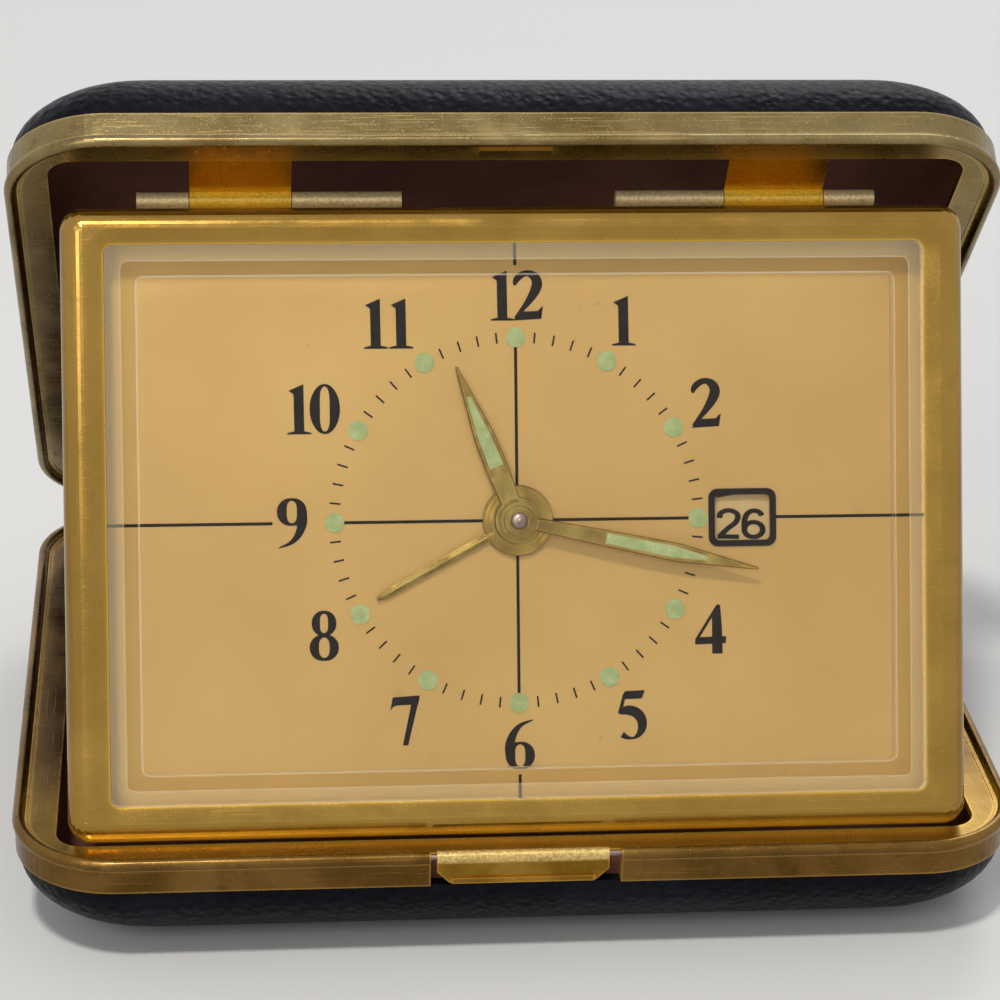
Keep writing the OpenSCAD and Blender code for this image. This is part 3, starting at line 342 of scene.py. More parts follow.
def acrylic():
    """Clear window: glass to the eye, and clear to the light that falls on the dial."""
    f = Finish("acrylic", IOR=1.24, Specular_IOR_Level=0.3)
    edge = f.edges(0.2)
    surface = f.node("ShaderNodeNewGeometry")
    outside = f.math("SUBTRACT", 1, surface.outputs["Backfacing"])
    depth = f.node("ShaderNodeVectorMath")
    depth.operation = "DOT_PRODUCT"
    f.feed(depth, 0, f.place)
    depth.inputs[1].default_value = FACE_OUT
    # The two steps of the moulded border, told apart by how far they stand out
    _, _, (_, top) = face_span("crystal")
    level = top * MM + dial_centre.dot(FACE_OUT)
    steps = []
    for fall in (LOW_STEP_FALL, HIGH_STEP_FALL):
        raised = f.math("ADD", depth.outputs["Value"], fall * MM)
        steps.append(f.math("MULTIPLY", outside, f.math("COMPARE", raised, level)))
    low_step, high_step = steps
    # Painted reflection: the lower step tinted pale yellow, the upper step a darker grey-gold
    colour = f.mix(low_step, (0.985, 0.985, 0.955), (0.96, 0.90, 0.62))
    colour = f.mix(high_step, colour, (0.78, 0.74, 0.58))
    # Painted highlight: whitish lines along the crystal's edges
    f.set("Base Color", f.mix(edge, colour, (0.95, 0.92, 0.76)))
    # Painted highlight and painted reflection make the edges and the lower step less clear
    painted_whitening = f.math(
        "MAXIMUM", f.span(edge, 0.5, 1.0, 0.0, 0.38), f.math("MULTIPLY", low_step, 0.16))
    f.set("Transmission Weight", f.math("SUBTRACT", 1, painted_whitening))
    f.set("Roughness", f.math("MULTIPLY", painted_whitening, 0.5))
    f.bump(f.noise(22, 2, 0.4), 0.03, 0.10)
    clear = f.node("ShaderNodeBsdfTransparent")
    clear.inputs["Color"].default_value = (0.97, 0.97, 0.94, 1)
    ray = f.node("ShaderNodeLightPath")
    passing = f.math("MAXIMUM", ray.outputs["Is Shadow Ray"], ray.outputs["Is Diffuse Ray"])
    both = f.node("ShaderNodeMixShader")
    f.feed(both, 0, passing)
    f.feed(both, 1, f.shader.outputs[0])
    f.feed(both, 2, clear.outputs[0])
    f.tree.links.new(both.outputs[0], f.tree.nodes["Material Output"].inputs["Surface"])
    return f.material


def champagne():
    """Satin dial: a fine vertical grain, faint cloudy ageing and a few specks."""
    f = Finish("champagne", Metallic=0.25, Roughness=0.42, Coat_Weight=0.15, Coat_Roughness=0.3)
    cloud = f.span(f.noise(26, 4, 0.55), 0.35, 0.7)
    grain = f.noise(0.12, 2, 0.5, (1, 0.06, 0.06))
    spots = f.span(f.noise(1.1, 2, 0.5), 0.70, 0.80)
    colour = f.mix(cloud, (0.537, 0.320, 0.093), (0.620, 0.385, 0.122))
    f.set("Base Color", f.mix(f.math("MULTIPLY", spots, 0.35), colour, (0.33, 0.19, 0.07)))
    f.set("Roughness", f.span(grain, 0.3, 0.7, 0.36, 0.48))
    f.bump(grain, 0.08, 0.01)
    return f.material


def print_ink():
    """Black printing ink, rubbed a little."""
    f = Finish("print_ink", Roughness=0.6, Specular_IOR_Level=0.05)
    rub = f.span(f.noise(0.7, 4, 0.7), 0.55, 0.85)
    f.set("Base Color", f.mix(rub, (0.010, 0.006, 0.004), (0.035, 0.018, 0.012)))
    f.bump(f.noise(0.2, 2), 0.1, 0.01)
    return f.material


def lume():
    """Pale green paint that has aged: chalky, with darker grains."""
    f = Finish("lume", Roughness=0.75, Subsurface_Weight=0.15)
    f.set("Subsurface Radius", (0.0006, 0.0008, 0.0004))
    grains = f.span(f.noise(0.22, 4, 0.7), 0.4, 0.75)
    patch = f.span(f.noise(1.4, 3, 0.6), 0.4, 0.7)
    colour = f.mix(patch, (0.37, 0.45, 0.19), (0.52, 0.60, 0.31))
    f.set("Base Color", f.mix(f.math("MULTIPLY", grains, 0.5), colour, (0.27, 0.33, 0.11)))
    f.bump(f.noise(0.18, 4, 0.7), 0.5, 0.04)
    return f.material


def cream_paint():
    """The aged ground of the date ring."""
    f = Finish("cream_paint", Roughness=0.55)
    age = f.span(f.noise(2.4, 4, 0.6), 0.35, 0.7)
    f.set("Base Color", f.mix(age, (0.55, 0.38, 0.16), (0.62, 0.44, 0.20)))
    f.bump(f.noise(0.3, 3), 0.1, 0.01)
    return f.material


def make_materials():
    clock_line, _ = joint_place("clock_hinge")
    latch_line, _ = joint_place("latch_press")
    return {
        "leather": leather(),
        "rim_gold": gilt(
            "rim_gold", (0.240, 0.182, 0.080), (0.140, 0.092, 0.030), (0.04, 0.02, 0.007),
            rough=0.20, wear=0.7, scratch=0.7, mottle=11, hollow=7, rim=0.3, shine=2.8),
        "base_gold": gilt(
            "base_gold", (0.205, 0.115, 0.030), (0.115, 0.058, 0.012), (0.035, 0.015, 0.004),
            rough=0.20, wear=0.7, scratch=0.6, mottle=11, hollow=7, rim=0.3, shine=3.4),
        "latch_gold": gilt(
            "latch_gold", (0.36, 0.20, 0.035), (0.22, 0.115, 0.012), (0.08, 0.04, 0.006),
            rough=0.22, wear=0.4, scratch=0.3, mottle=6, hollow=0, rim=0.25, shine=2.4,
            frosted_lit_strip=(latch_line, 0.62, (0.78, 0.56, 0.20), 0.6)),
        "tab_gold": gilt(
            "tab_gold", (0.235, 0.185, 0.080), (0.105, 0.070, 0.020), (0.04, 0.02, 0.007),
            rough=0.20, wear=0.7, scratch=0.4, mottle=11, hollow=7, rim=0.3, shine=2.8,
            frosted_lit_strip=(clock_line, 0.9, (0.98, 0.68, 0.07), 0.2)),
        # Painted light: a lighter copy of the gold, as if the knuckles were lit evenly from the front
        "knuckle_gold_lit": gilt(
            "knuckle_gold_lit", (0.60, 0.45, 0.22), (0.44, 0.30, 0.12), (0.2, 0.12, 0.04),
            rough=0.28, wear=0.4, scratch=0, mottle=3, hollow=0, rim=0.2, shine=1.5,
            frosted_lit_strip=(clock_line, 0.9, (0.95, 0.80, 0.46), 0.3)),
        "case_gilt": gilt(
            "case_gilt", (0.345, 0.205, 0.047), (0.285, 0.165, 0.035), (0.14, 0.072, 0.015),
            rough=0.12, wear=0.3, scratch=0.15, mottle=14, hollow=7, rim=0.3, shine=2.2),
        "lining": flock(),
        "steel": plain_metal("steel", (0.27, 0.19, 0.17), 0.28),
        "movement_brass": plain_metal("movement_brass", (0.62, 0.44, 0.17), 0.24, (0, 1, 0)),
        "acrylic": acrylic(),
        "dial": champagne(),
        "dial_black": print_ink(),
        "lume": lume(),
        "hand_gilt": gilt(
            "hand_gilt", (0.42, 0.30, 0.085), (0.22, 0.14, 0.035), (0.10, 0.04, 0.012),
            rough=0.10, wear=0.8, scratch=0.1, mottle=3, hollow=0, rim=0.1, shine=2.4),
        "date_paper": cream_paint(),
        "spring_steel": plain_metal("spring_steel", (0.08, 0.12, 0.32), 0.2),
    }


MATERIALS = make_materials()
# Width of the bevel on a CAD node's edges, and the angle in degrees from which an edge has one
EDGE_ROUNDING = 0.06
EDGE_ANGLE = 38
# Nodes whose gold differs from the rest of their slot; the knuckles' lighter gold is painted light
OWN_GOLD = {
    "base_rim": "base_gold", "base_hinge_leaf": "base_gold", "latch_flap": "latch_gold",
    "clock_hinge_tabs": "tab_gold", "clock_hinge_knuckles": "knuckle_gold_lit",
}


def dress_cad_nodes():
    """Gives every CAD node its material, and rounds its edges for the eye."""
    for part in frame["record"]["subparts"]:
        obj = NODES[part["node"]]
        obj.data.materials.clear()
        obj.data.materials.append(MATERIALS[OWN_GOLD.get(part["node"], part["material_slot"])])
        obj.data.shade_flat()
        rounded = obj.modifiers.new("edge", "BEVEL")
        rounded.width = EDGE_ROUNDING * MM
        rounded.segments = 2
        rounded.limit_method = "ANGLE"
        rounded.angle_limit = math.radians(EDGE_ANGLE)
        rounded.use_clamp_overlap = True
        smooth = obj.modifiers.new("soft_normals", "WEIGHTED_NORMAL")
        smooth.keep_sharp = True


# ---- mesh helpers ----
def add_piece(name, points, faces, slot, body, smooth=False):
    """A new piece of the scene, on its body and in its material slot."""
    mesh = bpy.data.meshes.new(name)
    mesh.from_pydata([tuple(p) for p in points], [], faces)
    mesh.validate()
    mesh.update()
    if smooth:
        mesh.shade_smooth()
    obj = bpy.data.objects.new(name, mesh)
    bpy.context.scene.collection.objects.link(obj)
    mesh.materials.append(MATERIALS[slot])
    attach(obj, body)
    return obj


class Print:
    """Thin raised shapes laid on a flat: prisms collected into one mesh."""

    def __init__(self, place, level, thick):
        self.place, self.level, self.thick = place, level, thick
        self.points, self.faces = [], []

    def prism(self, outline):
        """A convex or gently concave outline, as one closed prism."""
        first, n = len(self.points), len(outline)
        area = sum(a[0] * b[1] - b[0] * a[1] for a, b in zip(outline, outline[1:] + outline[:1]))
        if area < 0:
            outline = outline[::-1]
        for z in (self.level, self.level + self.thick):
            self.points += [self.place(x, y, z) for x, y in outline]
        self.faces.append(tuple(range(first + n - 1, first - 1, -1)))
        self.faces.append(tuple(range(first + n, first + 2 * n)))
        for i in range(n):
            k = (i + 1) % n
            self.faces.append((first + i, first + k, first + n + k, first + n + i))

    def ribbon(self, left, right, closed=False):
        """A closed solid band between two edges of equal count."""
        first, n = len(self.points), len(left)
        for z in (self.level, self.level + self.thick):
            for edge in (left, right):
                self.points += [self.place(x, y, z) for x, y in edge]
        low_left, low_right, top_left, top_right = (first + k * n for k in range(4))
        for i in range(n if closed else n - 1):
            k = (i + 1) % n
            self.faces.append((top_left + i, top_right + i, top_right + k, top_left + k))
            self.faces.append((low_left + k, low_right + k, low_right + i, low_left + i))
            self.faces.append((low_left + i, top_left + i, top_left + k, low_left + k))
            self.faces.append((low_right + k, top_right + k, top_right + i, low_right + i))
        if not closed:
            for i, turn in ((0, 1), (n - 1, -1)):
                face = (low_left + i, low_right + i, top_right + i, top_left + i)
                self.faces.append(face[::turn])

    def piece(self, name, slot, body):
        add_piece(name, self.points, self.faces, slot, body)


# ---- numerals, drawn as strokes of changing width on a height of 1 ----
def curve_points(knots, steps=7):
    """Catmull-Rom curve through knots of (x, y, width)."""
    if len(knots) == 2:
        return list(knots)
    ends = [knots[0], *knots, knots[-1]]
    made = []
    for a, b, c, d in zip(ends, ends[1:], ends[2:], ends[3:]):
        for k in range(steps):
            t = k / steps
            made.append(tuple(
                0.5 * (2 * q + (r - p) * t
                       + (2 * p - 5 * q + 4 * r - s) * t * t
                       + (3 * q - p - 3 * r + s) * t ** 3)
                for p, q, r, s in zip(a, b, c, d)))
    made.append(knots[-1])
    return made


def stroke(*knots):
    """Both edges of an open stroke."""
    line = curve_points(knots)
    left, right = [], []
    for i, (x, y, width) in enumerate(line):
        before, after = line[max(i - 1, 0)], line[min(i + 1, len(line) - 1)]
        dx, dy = after[0] - before[0], after[1] - before[1]
        length = math.hypot(dx, dy)
        nx, ny = -dy / length * width / 2, dx / length * width / 2
        left.append((x + nx, y + ny))
        right.append((x - nx, y - ny))
    return "open", left, right


# How quickly an oval stroke narrows from its sides to its ends
OVAL_POWER = 1.6


def loop(cx, cy, rx, ry, side, end, count=28):
    """An oval stroke, wide at its sides and narrow at its ends."""
    inner, outer = [], []
    for i in range(count):
        a = 2 * math.pi * i / count
        width = end + (side - end) * abs(math.cos(a)) ** OVAL_POWER
        for edge, off in ((outer, width / 2), (inner, -width / 2)):
            edge.append((cx + (rx + off) * math.cos(a), cy + (ry + off) * math.sin(a)))
    return "closed", inner, outer


def shape(*outline):
    """A filled outline."""
    return "solid", list(outline), None


def turned_over(parts):
    """The same numeral turned half round."""
    def turn(points):
        return [(-x, 1 - y) for x, y in points] if points else None
    return [(kind, turn(a), turn(b)) for kind, a, b in parts]


SERIF = {
    "0": [loop(0, 0.5, 0.2, 0.475, 0.21, 0.05)],
    "1": [
        shape((-0.21, 0.87), (0.09, 1.0), (0.10, 0.04), (-0.10, 0.04), (-0.11, 0.80)),
        shape((-0.24, 0), (0.24, 0), (0.24, 0.03), (0.12, 0.06), (-0.12, 0.06), (-0.24, 0.03)),
    ],
    "2": [
        stroke(
            (-0.26, 0.70, 0.05), (-0.235, 0.80, 0.12), (-0.14, 0.90, 0.13), (0.0, 0.945, 0.12),
            (0.14, 0.87, 0.18), (0.19, 0.73, 0.21), (0.13, 0.56, 0.19), (0.0, 0.36, 0.13),
            (-0.16, 0.16, 0.08), (-0.25, 0.04, 0.07)),
        shape((-0.29, 0), (0.27, 0.03), (0.31, 0.285), (0.28, 0.27), (0.2, 0.19), (-0.12, 0.18)),
    ],
    "4": [
        shape(
            (0.03, 0), (0.245, 0), (0.235, 0.5), (0.2, 0.98), (0.15, 1.0), (0.11, 0.97),
            (0.03, 0.78)),
        stroke((0.14, 0.96, 0.06), (-0.28, 0.3, 0.06)),
        shape((-0.315, 0.19), (0.31, 0.21), (0.32, 0.35), (-0.27, 0.34), (-0.315, 0.30)),
    ],
    "5": [
        shape((-0.19, 0.82), (0.19, 0.83), (0.256, 1.0), (-0.16, 0.985)),
        stroke((-0.155, 0.93, 0.07), (-0.205, 0.74, 0.07), (-0.255, 0.53, 0.09)),
        stroke(
            (-0.26, 0.55, 0.09), (-0.1, 0.60, 0.19), (0.08, 0.545, 0.21), (0.185, 0.40, 0.20),
            (0.19, 0.23, 0.17), (0.11, 0.09, 0.10), (0.0, 0.035, 0.05), (-0.12, 0.055, 0.09),
            (-0.215, 0.11, 0.13)),
    ],
    "6": [
        loop(0.01, 0.272, 0.2, 0.25, 0.2, 0.05),
        stroke(
            (-0.19, 0.27, 0.2), (-0.195, 0.5, 0.19), (-0.11, 0.73, 0.14), (0.04, 0.89, 0.08),
            (0.28, 0.985, 0.02)),
    ],
    "7": [
        shape(
            (-0.25, 0.97), (0.295, 1.0), (0.26, 0.82), (-0.17, 0.805), (-0.24, 0.78),
            (-0.305, 0.70)),
        shape((0.29, 0.98), (0.05, 0), (-0.06, 0), (0.12, 0.83)),
    ],
    "8": [loop(0, 0.745, 0.165, 0.225, 0.17, 0.06), loop(0, 0.26, 0.2, 0.235, 0.19, 0.06)],
}
SERIF["9"] = turned_over(SERIF["6"])

# Width of the date figures' strokes, as a share of their height
PEN = 0.15


def pen(*knots):
    """An open stroke of even width."""
    return stroke(*[(x, y, PEN) for x, y in knots])


def pen_loop(cy, rx, ry):
    """An oval stroke of even width."""
    return loop(0, cy, rx, ry, PEN, PEN)


SANS = {
    "0": [pen_loop(0.5, 0.23, 0.44)],
    "1": [pen((0.06, 0), (0.06, 0.99)), pen((-0.15, 0.76), (0.08, 0.93))],
    "2": [
        pen((-0.24, 0.68), (-0.2, 0.85), (-0.02, 0.94), (0.17, 0.87), (0.23, 0.71), (0.16, 0.52),
            (-0.02, 0.33), (-0.22, 0.07)),
        pen((-0.28, 0.06), (0.27, 0.06)),
    ],
    "3": [
        pen((-0.23, 0.75), (-0.13, 0.9), (0.04, 0.94), (0.19, 0.85), (0.2, 0.68), (0.1, 0.56),
            (-0.05, 0.54)),
        pen((-0.05, 0.54), (0.14, 0.49), (0.24, 0.33), (0.2, 0.14), (0.02, 0.06), (-0.16, 0.11),
            (-0.26, 0.26)),
    ],
    "4": [
        pen((0.12, 0.97), (-0.26, 0.27)),
        pen((-0.3, 0.25), (0.29, 0.25)),
        pen((0.12, 0), (0.12, 0.99)),
    ],
    "5": [
        pen((0.22, 0.94), (-0.19, 0.94)),
        pen((-0.16, 0.97), (-0.21, 0.5)),
        pen((-0.21, 0.5), (-0.02, 0.58), (0.17, 0.5), (0.24, 0.32), (0.16, 0.12), (-0.02, 0.06),
            (-0.18, 0.11), (-0.26, 0.25)),
    ],
    "6": [
        pen((0.21, 0.78), (0.12, 0.91), (-0.03, 0.94), (-0.17, 0.83), (-0.235, 0.6),
            (-0.235, 0.33)),
        pen_loop(0.31, 0.235, 0.25),
    ],
    "7": [pen((-0.25, 0.94), (0.26, 0.94)), pen((0.24, 0.92), (0.06, 0.55), (-0.05, 0))],
    "8": [pen_loop(0.72, 0.19, 0.22), pen_loop(0.28, 0.235, 0.22)],
}
SANS["9"] = turned_over(SANS["6"])


def draw_number(ink, number, alphabet, height, advance, place):
    """Draws a number centred on (0, 0) of the placing function."""
    shift = (len(number) - 1) / 2
    for index, digit in enumerate(number):
        def put(points, offset=(index - shift) * advance):
            return [place(x * height + offset, (y - 0.5) * height) for x, y in points]
        for kind, a, b in alphabet[digit]:
            if kind == "solid":
                ink.prism(put(a))
            else:
                ink.ribbon(put(a), put(b), kind == "closed")


# ---- what is printed on the dial ----
# Minute strokes: how far out their middle lies, their length and width
TICK_R = 17.6
TICK_LENGTH = 1.05
TICK_WIDTH = 0.17
LINE_WIDTH = 0.30
# Hour numerals: how far out their middle lies, their height, and the step from digit to digit
NUMERAL_R = 21.6
NUMERAL_HEIGHT = 4.8
NUMERAL_ADVANCE = 2.45
# Small moves of single numerals off the even circle, right and up
NUMERAL_NUDGE = {
    11: (-1.4, 0.3), 10: (-0.9, 0.1), 1: (-0.3, 0.4), 2: (-0.3, 0.3), 7: (-0.2, -0.4),
    5: (0.2, -0.3),
}
# The date window stands where the 3 would be
NUMBERED_HOURS = (1, 2, 4, 5, 6, 7, 8, 9, 10, 11, 12)
# How far the printed lines stop short of the numerals, above or below and beside them
LINE_GAP = 0.5
LINE_GAP_BESIDE = 1.9
# How far they run on under the hour dots and under the date frame
UNDER_DOTS = 0.3
UNDER_FRAME = 0.2
# Print lies this high on its surface, and is this thick
PRINT_LIFT = 0.004
PRINT_THICK = 0.02


def bar(ink, a, b, width):
    """A straight printed line between two points."""
    (ax, ay), (bx, by) = a, b
    length = math.hypot(bx - ax, by - ay)
    nx, ny = -(by - ay) / length * width / 2, (bx - ax) / length * width / 2
    ink.prism([(ax + nx, ay + ny), (ax - nx, ay - ny), (bx - nx, by - ny), (bx + nx, by + ny)])


def dial_print():
    """Minute strokes, hour numerals and the cross of lines."""
    (left, right), (low, high), (_, top) = face_span("dial")
    ink = Print(on_face, top + PRINT_LIFT, PRINT_THICK)
    for minute in range(60):
        if minute % 5 == 0:
            continue
        a = math.radians(6 * minute)
        reach = TICK_R - TICK_LENGTH / 2, TICK_R + TICK_LENGTH / 2
        bar(ink, *[(r * math.sin(a), r * math.cos(a)) for r in reach], TICK_WIDTH)
    for hour in NUMBERED_HOURS:
        a = math.radians(30 * hour)
        dx, dy = NUMERAL_NUDGE.get(hour, (0, 0))
        cx, cy = NUMERAL_R * math.sin(a) + dx, NUMERAL_R * math.cos(a) + dy
        draw_number(
            ink, str(hour), SERIF, NUMERAL_HEIGHT, NUMERAL_ADVANCE, lambda x, y: (x + cx, y + cy))
    (_, frame_right), _, _ = face_span("date_window_frame")
    (dots_left, _), (dots_low, dots_high), _ = face_span("hour_dots")
    past_numerals = NUMERAL_R + NUMERAL_HEIGHT / 2 + LINE_GAP
    bar(ink, (0, dots_high - UNDER_DOTS), (0, dots_low + UNDER_DOTS), LINE_WIDTH)
    bar(ink, (dots_left + UNDER_DOTS, 0), (-dots_left - UNDER_DOTS, 0), LINE_WIDTH)
    bar(ink, (0, past_numerals), (0, high), LINE_WIDTH)
    bar(ink, (0, low), (0, -past_numerals), LINE_WIDTH)
    bar(ink, (left, 0), (-NUMERAL_R - LINE_GAP_BESIDE, 0), LINE_WIDTH)
    bar(ink, (frame_right - UNDER_FRAME, 0), (right, 0), LINE_WIDTH)
    ink.piece("dial_print", "dial_black", "clock")


# Date figures: their height, and the step from digit to digit
DATE_HEIGHT = 2.9
DATE_ADVANCE = 2.45
# The date figures are broad for their height
DATE_BROAD = 1.33
DATE_SHOWN = 26
DAYS = 31
# The shown number stands a little low in its window
DATE_DROP = 0.65


def date_print():
    """Numbers round the date ring. The one shown stands in the window at three o'clock."""
    (frame_left, frame_right), _, _ = face_span("date_window_frame")
    _, _, (_, top) = face_span("date_ring")
    centre_r = (frame_left + frame_right) / 2
    ink = Print(on_face, top + PRINT_LIFT, PRINT_THICK)
    for day in range(1, DAYS + 1):
        a = math.radians((DATE_SHOWN - day) * 360 / DAYS) - DATE_DROP / centre_r

        def place(x, y, c=math.cos(a), s=math.sin(a)):
            x = centre_r + x * DATE_BROAD
            return x * c - y * s, x * s + y * c
        draw_number(ink, str(day), SANS, DATE_HEIGHT, DATE_ADVANCE / DATE_BROAD, place)
    ink.piece("date_numbers", "dial_black", "date")


# ---- hands, with chamfered edges, filled slots and turned hubs ----
HAND_STEPS = 24
ROUND_STEPS = 64
CHAMFER = 0.13
HAND_THICK = 0.25
# Right edge of each hand and of its slot: distance from the centre, half width
MINUTE_EDGE = ((1.0, 0.6), (8.6, 0.82), (15.8, 0.92), (23.7, 0.12))
MINUTE_SLOT = ((8.6, 0.5), (15.2, 0.55), (18.6, 0.2))
HOUR_EDGE = ((1.4, 0.9), (5.4, 1.1), (8.8, 1.02), (15.9, 0.12))
HOUR_SLOT = ((5.6, 0.68), (8.8, 0.6), (12.8, 0.2))
ALARM_EDGE = ((2.6, 0.45), (14.6, 0.4), (15.5, 0.15))
# Shares of the thickness up to which a hand's sides stand upright
BLADE_SIDE = 0.4
RIDGE_SIDE = 0.3
# Least half width between the chamfers, and the slot's width at its very ends as a share
CHAMFERED_LEAST = 0.03
SLOT_END = 0.1
# Points of a CAD hand this near to its greatest reach are its tip
TIP_LENGTH = 0.05
# Radius of each hub, of the hole in it, and of the arbor's cap
MINUTE_HUB = 1.8
HOUR_HUB = 2.25
ALARM_HUB = 3.4
PIN_R = 0.82
MINUTE_BORE = PIN_R - 0.25
HOUR_BORE = PIN_R + 0.4
ALARM_BORE = PIN_R + 0.8
# Top of each hub from its edge inwards: how far in, and how far above the top of the blade
MINUTE_STEPS = ((0, 0), (0.08, 0.06), (0.2, 0.08), (0.32, 0.06), (0.4, 0))
HOUR_STEPS = ((0, -0.08), (0.08, 0))
ALARM_STEPS = (
    (0, -0.1), (0.1, 0), (0.34, 0), (0.4, -0.07), (0.46, 0), (0.76, 0), (0.82, -0.07), (0.88, 0))
# A filling lies this far above the underside and below the top of its hand, and clear of the slot
FILLING_LOW = 0.04
FILLING_DROP = 0.03
FILLING_FIT = 0.02
# The cap: its foot above the minute hand, the start of its dome, the dome's height and its steps
CAP_FOOT = 0.02
CAP_DOME = 0.14
CAP_RISE = 0.4
CAP_STEPS = 9
# The ridge of the alarm hand stands this far above its hub
ALARM_RIDGE = 0.08
HAND_SHARP = math.radians(25)


def ring_solid(rings, place, closed):
    """Closed mesh through a row of loops of equal count, round again to the first or capped."""
    n, m = len(rings[0]), len(rings)
    points = [place(*p) for ring in rings for p in ring]
    faces = []
    for j in range(m if closed else m - 1):
        a, b = j * n, (j + 1) % m * n
        faces += [(a + i, a + (i + 1) % n, b + (i + 1) % n, b + i) for i in range(n)]
    if not closed:
        faces += [tuple(range(n - 1, -1, -1)), tuple(range((m - 1) * n, m * n))]
    return points, faces


def joined(*solids):
    """Several solids as one list of points and one of faces."""
    points, faces = [], []
    for more_points, more_faces in solids:
        first = len(points)
        points += more_points
        faces += [tuple(first + k for k in face) for face in more_faces]
    return points, faces


def turned(profile, place, closed=True):
    """A body of revolution about the hands' arbor, through (radius, height) points."""
    turns = [2 * math.pi * k / ROUND_STEPS for k in range(ROUND_STEPS)]
    rings = [[(r * math.cos(a), r * math.sin(a), z) for a in turns] for r, z in profile]
    return ring_solid(rings, place, closed)


def hub(radius, bore, steps, place, low, top):
    """The hub of a hand: steps turned on its top, and a hole through it."""
    upper = [(radius - inwards, top + rise) for inwards, rise in steps]
    return turned(((radius, low), *upper, (bore, top), (bore, low)), place)


def hand_frame(node):
    """A placing function along a hand of the CAD model, and the height of its underside."""
    offsets = [v.co - dial_centre for v in NODES[node].data.vertices]
    flat = [(p.dot(FACE_RIGHT) / MM, p.dot(FACE_UP) / MM) for p in offsets]
    reach = max(math.hypot(*p) for p in flat)
    tip = [p for p in flat if math.hypot(*p) > reach - TIP_LENGTH]
    x, y = (sum(p[k] for p in tip) / len(tip) for k in (0, 1))
    length = math.hypot(x, y)
    x, y = x / length, y / length

    def place(side, along, z):
        return on_face(side * y + along * x, along * y - side * x, z)
    _, _, (low, _) = face_span(node)
    return place, low


def half_width(edge, along):
    """Half the width of a hand or slot at a distance from the centre."""
    for (a, wa), (b, wb) in zip(edge, edge[1:]):
        if along <= b:
            return wa + (wb - wa) * max(along - a, 0) / (b - a)
    return edge[-1][1]


def both_sides(right):
    """The whole outline from its right half."""
    return right + [(-x, y) for x, y in reversed(right)]


def slotted_blade(edge, slot, place, low, top):
    """A flat hand with chamfered edges and a slot through it."""
    first, last = edge[0][0], edge[-1][0]
    slot_first, slot_last = slot[0][0], slot[-1][0]
    outer, chamfered, inner = [], [], []
    for k in range(HAND_STEPS + 1):
        y = first + (last - first) * k / HAND_STEPS
        x = half_width(edge, y)
        outer.append((x, y))
        chamfered.append((max(x - CHAMFER, CHAMFERED_LEAST), min(y, last - CHAMFER)))
        inside = min(max(y, slot_first), slot_last)
        share = min((y - first) / (slot_first - first), (last - y) / (last - slot_last), 1)
        inner.append((half_width(slot, inside) * (SLOT_END + (1 - SLOT_END) * share), inside))
    outlines = [both_sides(side) for side in (outer, outer, chamfered, inner, inner)]
    levels = (low, low + BLADE_SIDE * (top - low), top, top, low)
    rings = [[(x, y, z) for x, y in outline] for outline, z in zip(outlines, levels)]
    return ring_solid(rings, place, True)


def slot_filling(slot, place, low, top):
    """The luminous filling of a slot."""
    right = [(half_width(slot, y) - FILLING_FIT, y) for y, _ in slot]
    right[0] = (right[0][0], right[0][1] + FILLING_FIT)
    right[-1] = (right[-1][0], right[-1][1] - FILLING_FIT)
    outline = both_sides(right)
    return ring_solid([[(x, y, z) for x, y in outline] for z in (low, top)], place, False)


def ridged_blade(edge, place, low, top):
    """A narrow hand with a roof-shaped back."""
    side_top = low + RIDGE_SIDE * (top - low)
    rings = [
        [(w, y, low), (w, y, side_top), (0, y, top), (-w, y, side_top), (-w, y, low)]
        for y, w in edge]
    return ring_solid(rings, place, False)


def add_hand(name, solid, slot, body, *replaced):
    """A piece of a hand, with its faces turned outwards."""
    piece = add_piece(name, *solid, slot, body, smooth=True)
    mesh = bmesh.new()
    mesh.from_mesh(piece.data)
    bmesh.ops.recalc_face_normals(mesh, faces=mesh.faces)
    mesh.to_mesh(piece.data)
    mesh.free()
    piece.data.set_sharp_from_angle(angle=HAND_SHARP)
    if replaced:
        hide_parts(*replaced)


def slotted_hand(node, body, radius, bore, steps, edge, slot):
    """The minute or hour hand: hub and blade in one piece, and the filling of its slot."""
    place, low = hand_frame(node)
    top = low + HAND_THICK
    centre = hub(radius, bore, steps, place, low, top)
    blade = slotted_blade(edge, slot, place, low, top)
    add_hand(node + "_blade", joined(centre, blade), "hand_gilt", body, node)
    filling = slot_filling(slot, place, low + FILLING_LOW, top - FILLING_DROP)
    add_hand(node + "_filling", filling, "lume", body, node + "_lume")
    return place, top


def arbor_cap(place, top):
    """The cap of the arbor, domed almost to its middle, above the minute hand."""
    tilts = [math.pi * k / (2 * CAP_STEPS) for k in range(CAP_STEPS)]
    dome = [(PIN_R * math.cos(a), top + CAP_DOME + CAP_RISE * math.sin(a)) for a in tilts]
    cap = turned(((PIN_R, top + CAP_FOOT), *dome), place, False)
    add_hand("arbor_cap", cap, "steel", "minute")


def alarm_hand():
    """A narrow hand on a broad disc with two grooves."""
    place, low = hand_frame("alarm_hand")
    top = low + HAND_THICK
    disc = hub(ALARM_HUB, ALARM_BORE, ALARM_STEPS, place, low, top)
    blade = ridged_blade(ALARM_EDGE, place, low, top + ALARM_RIDGE)
    add_hand("alarm_hand_blade", joined(disc, blade), "hand_gilt", "alarm_show", "alarm_hand")


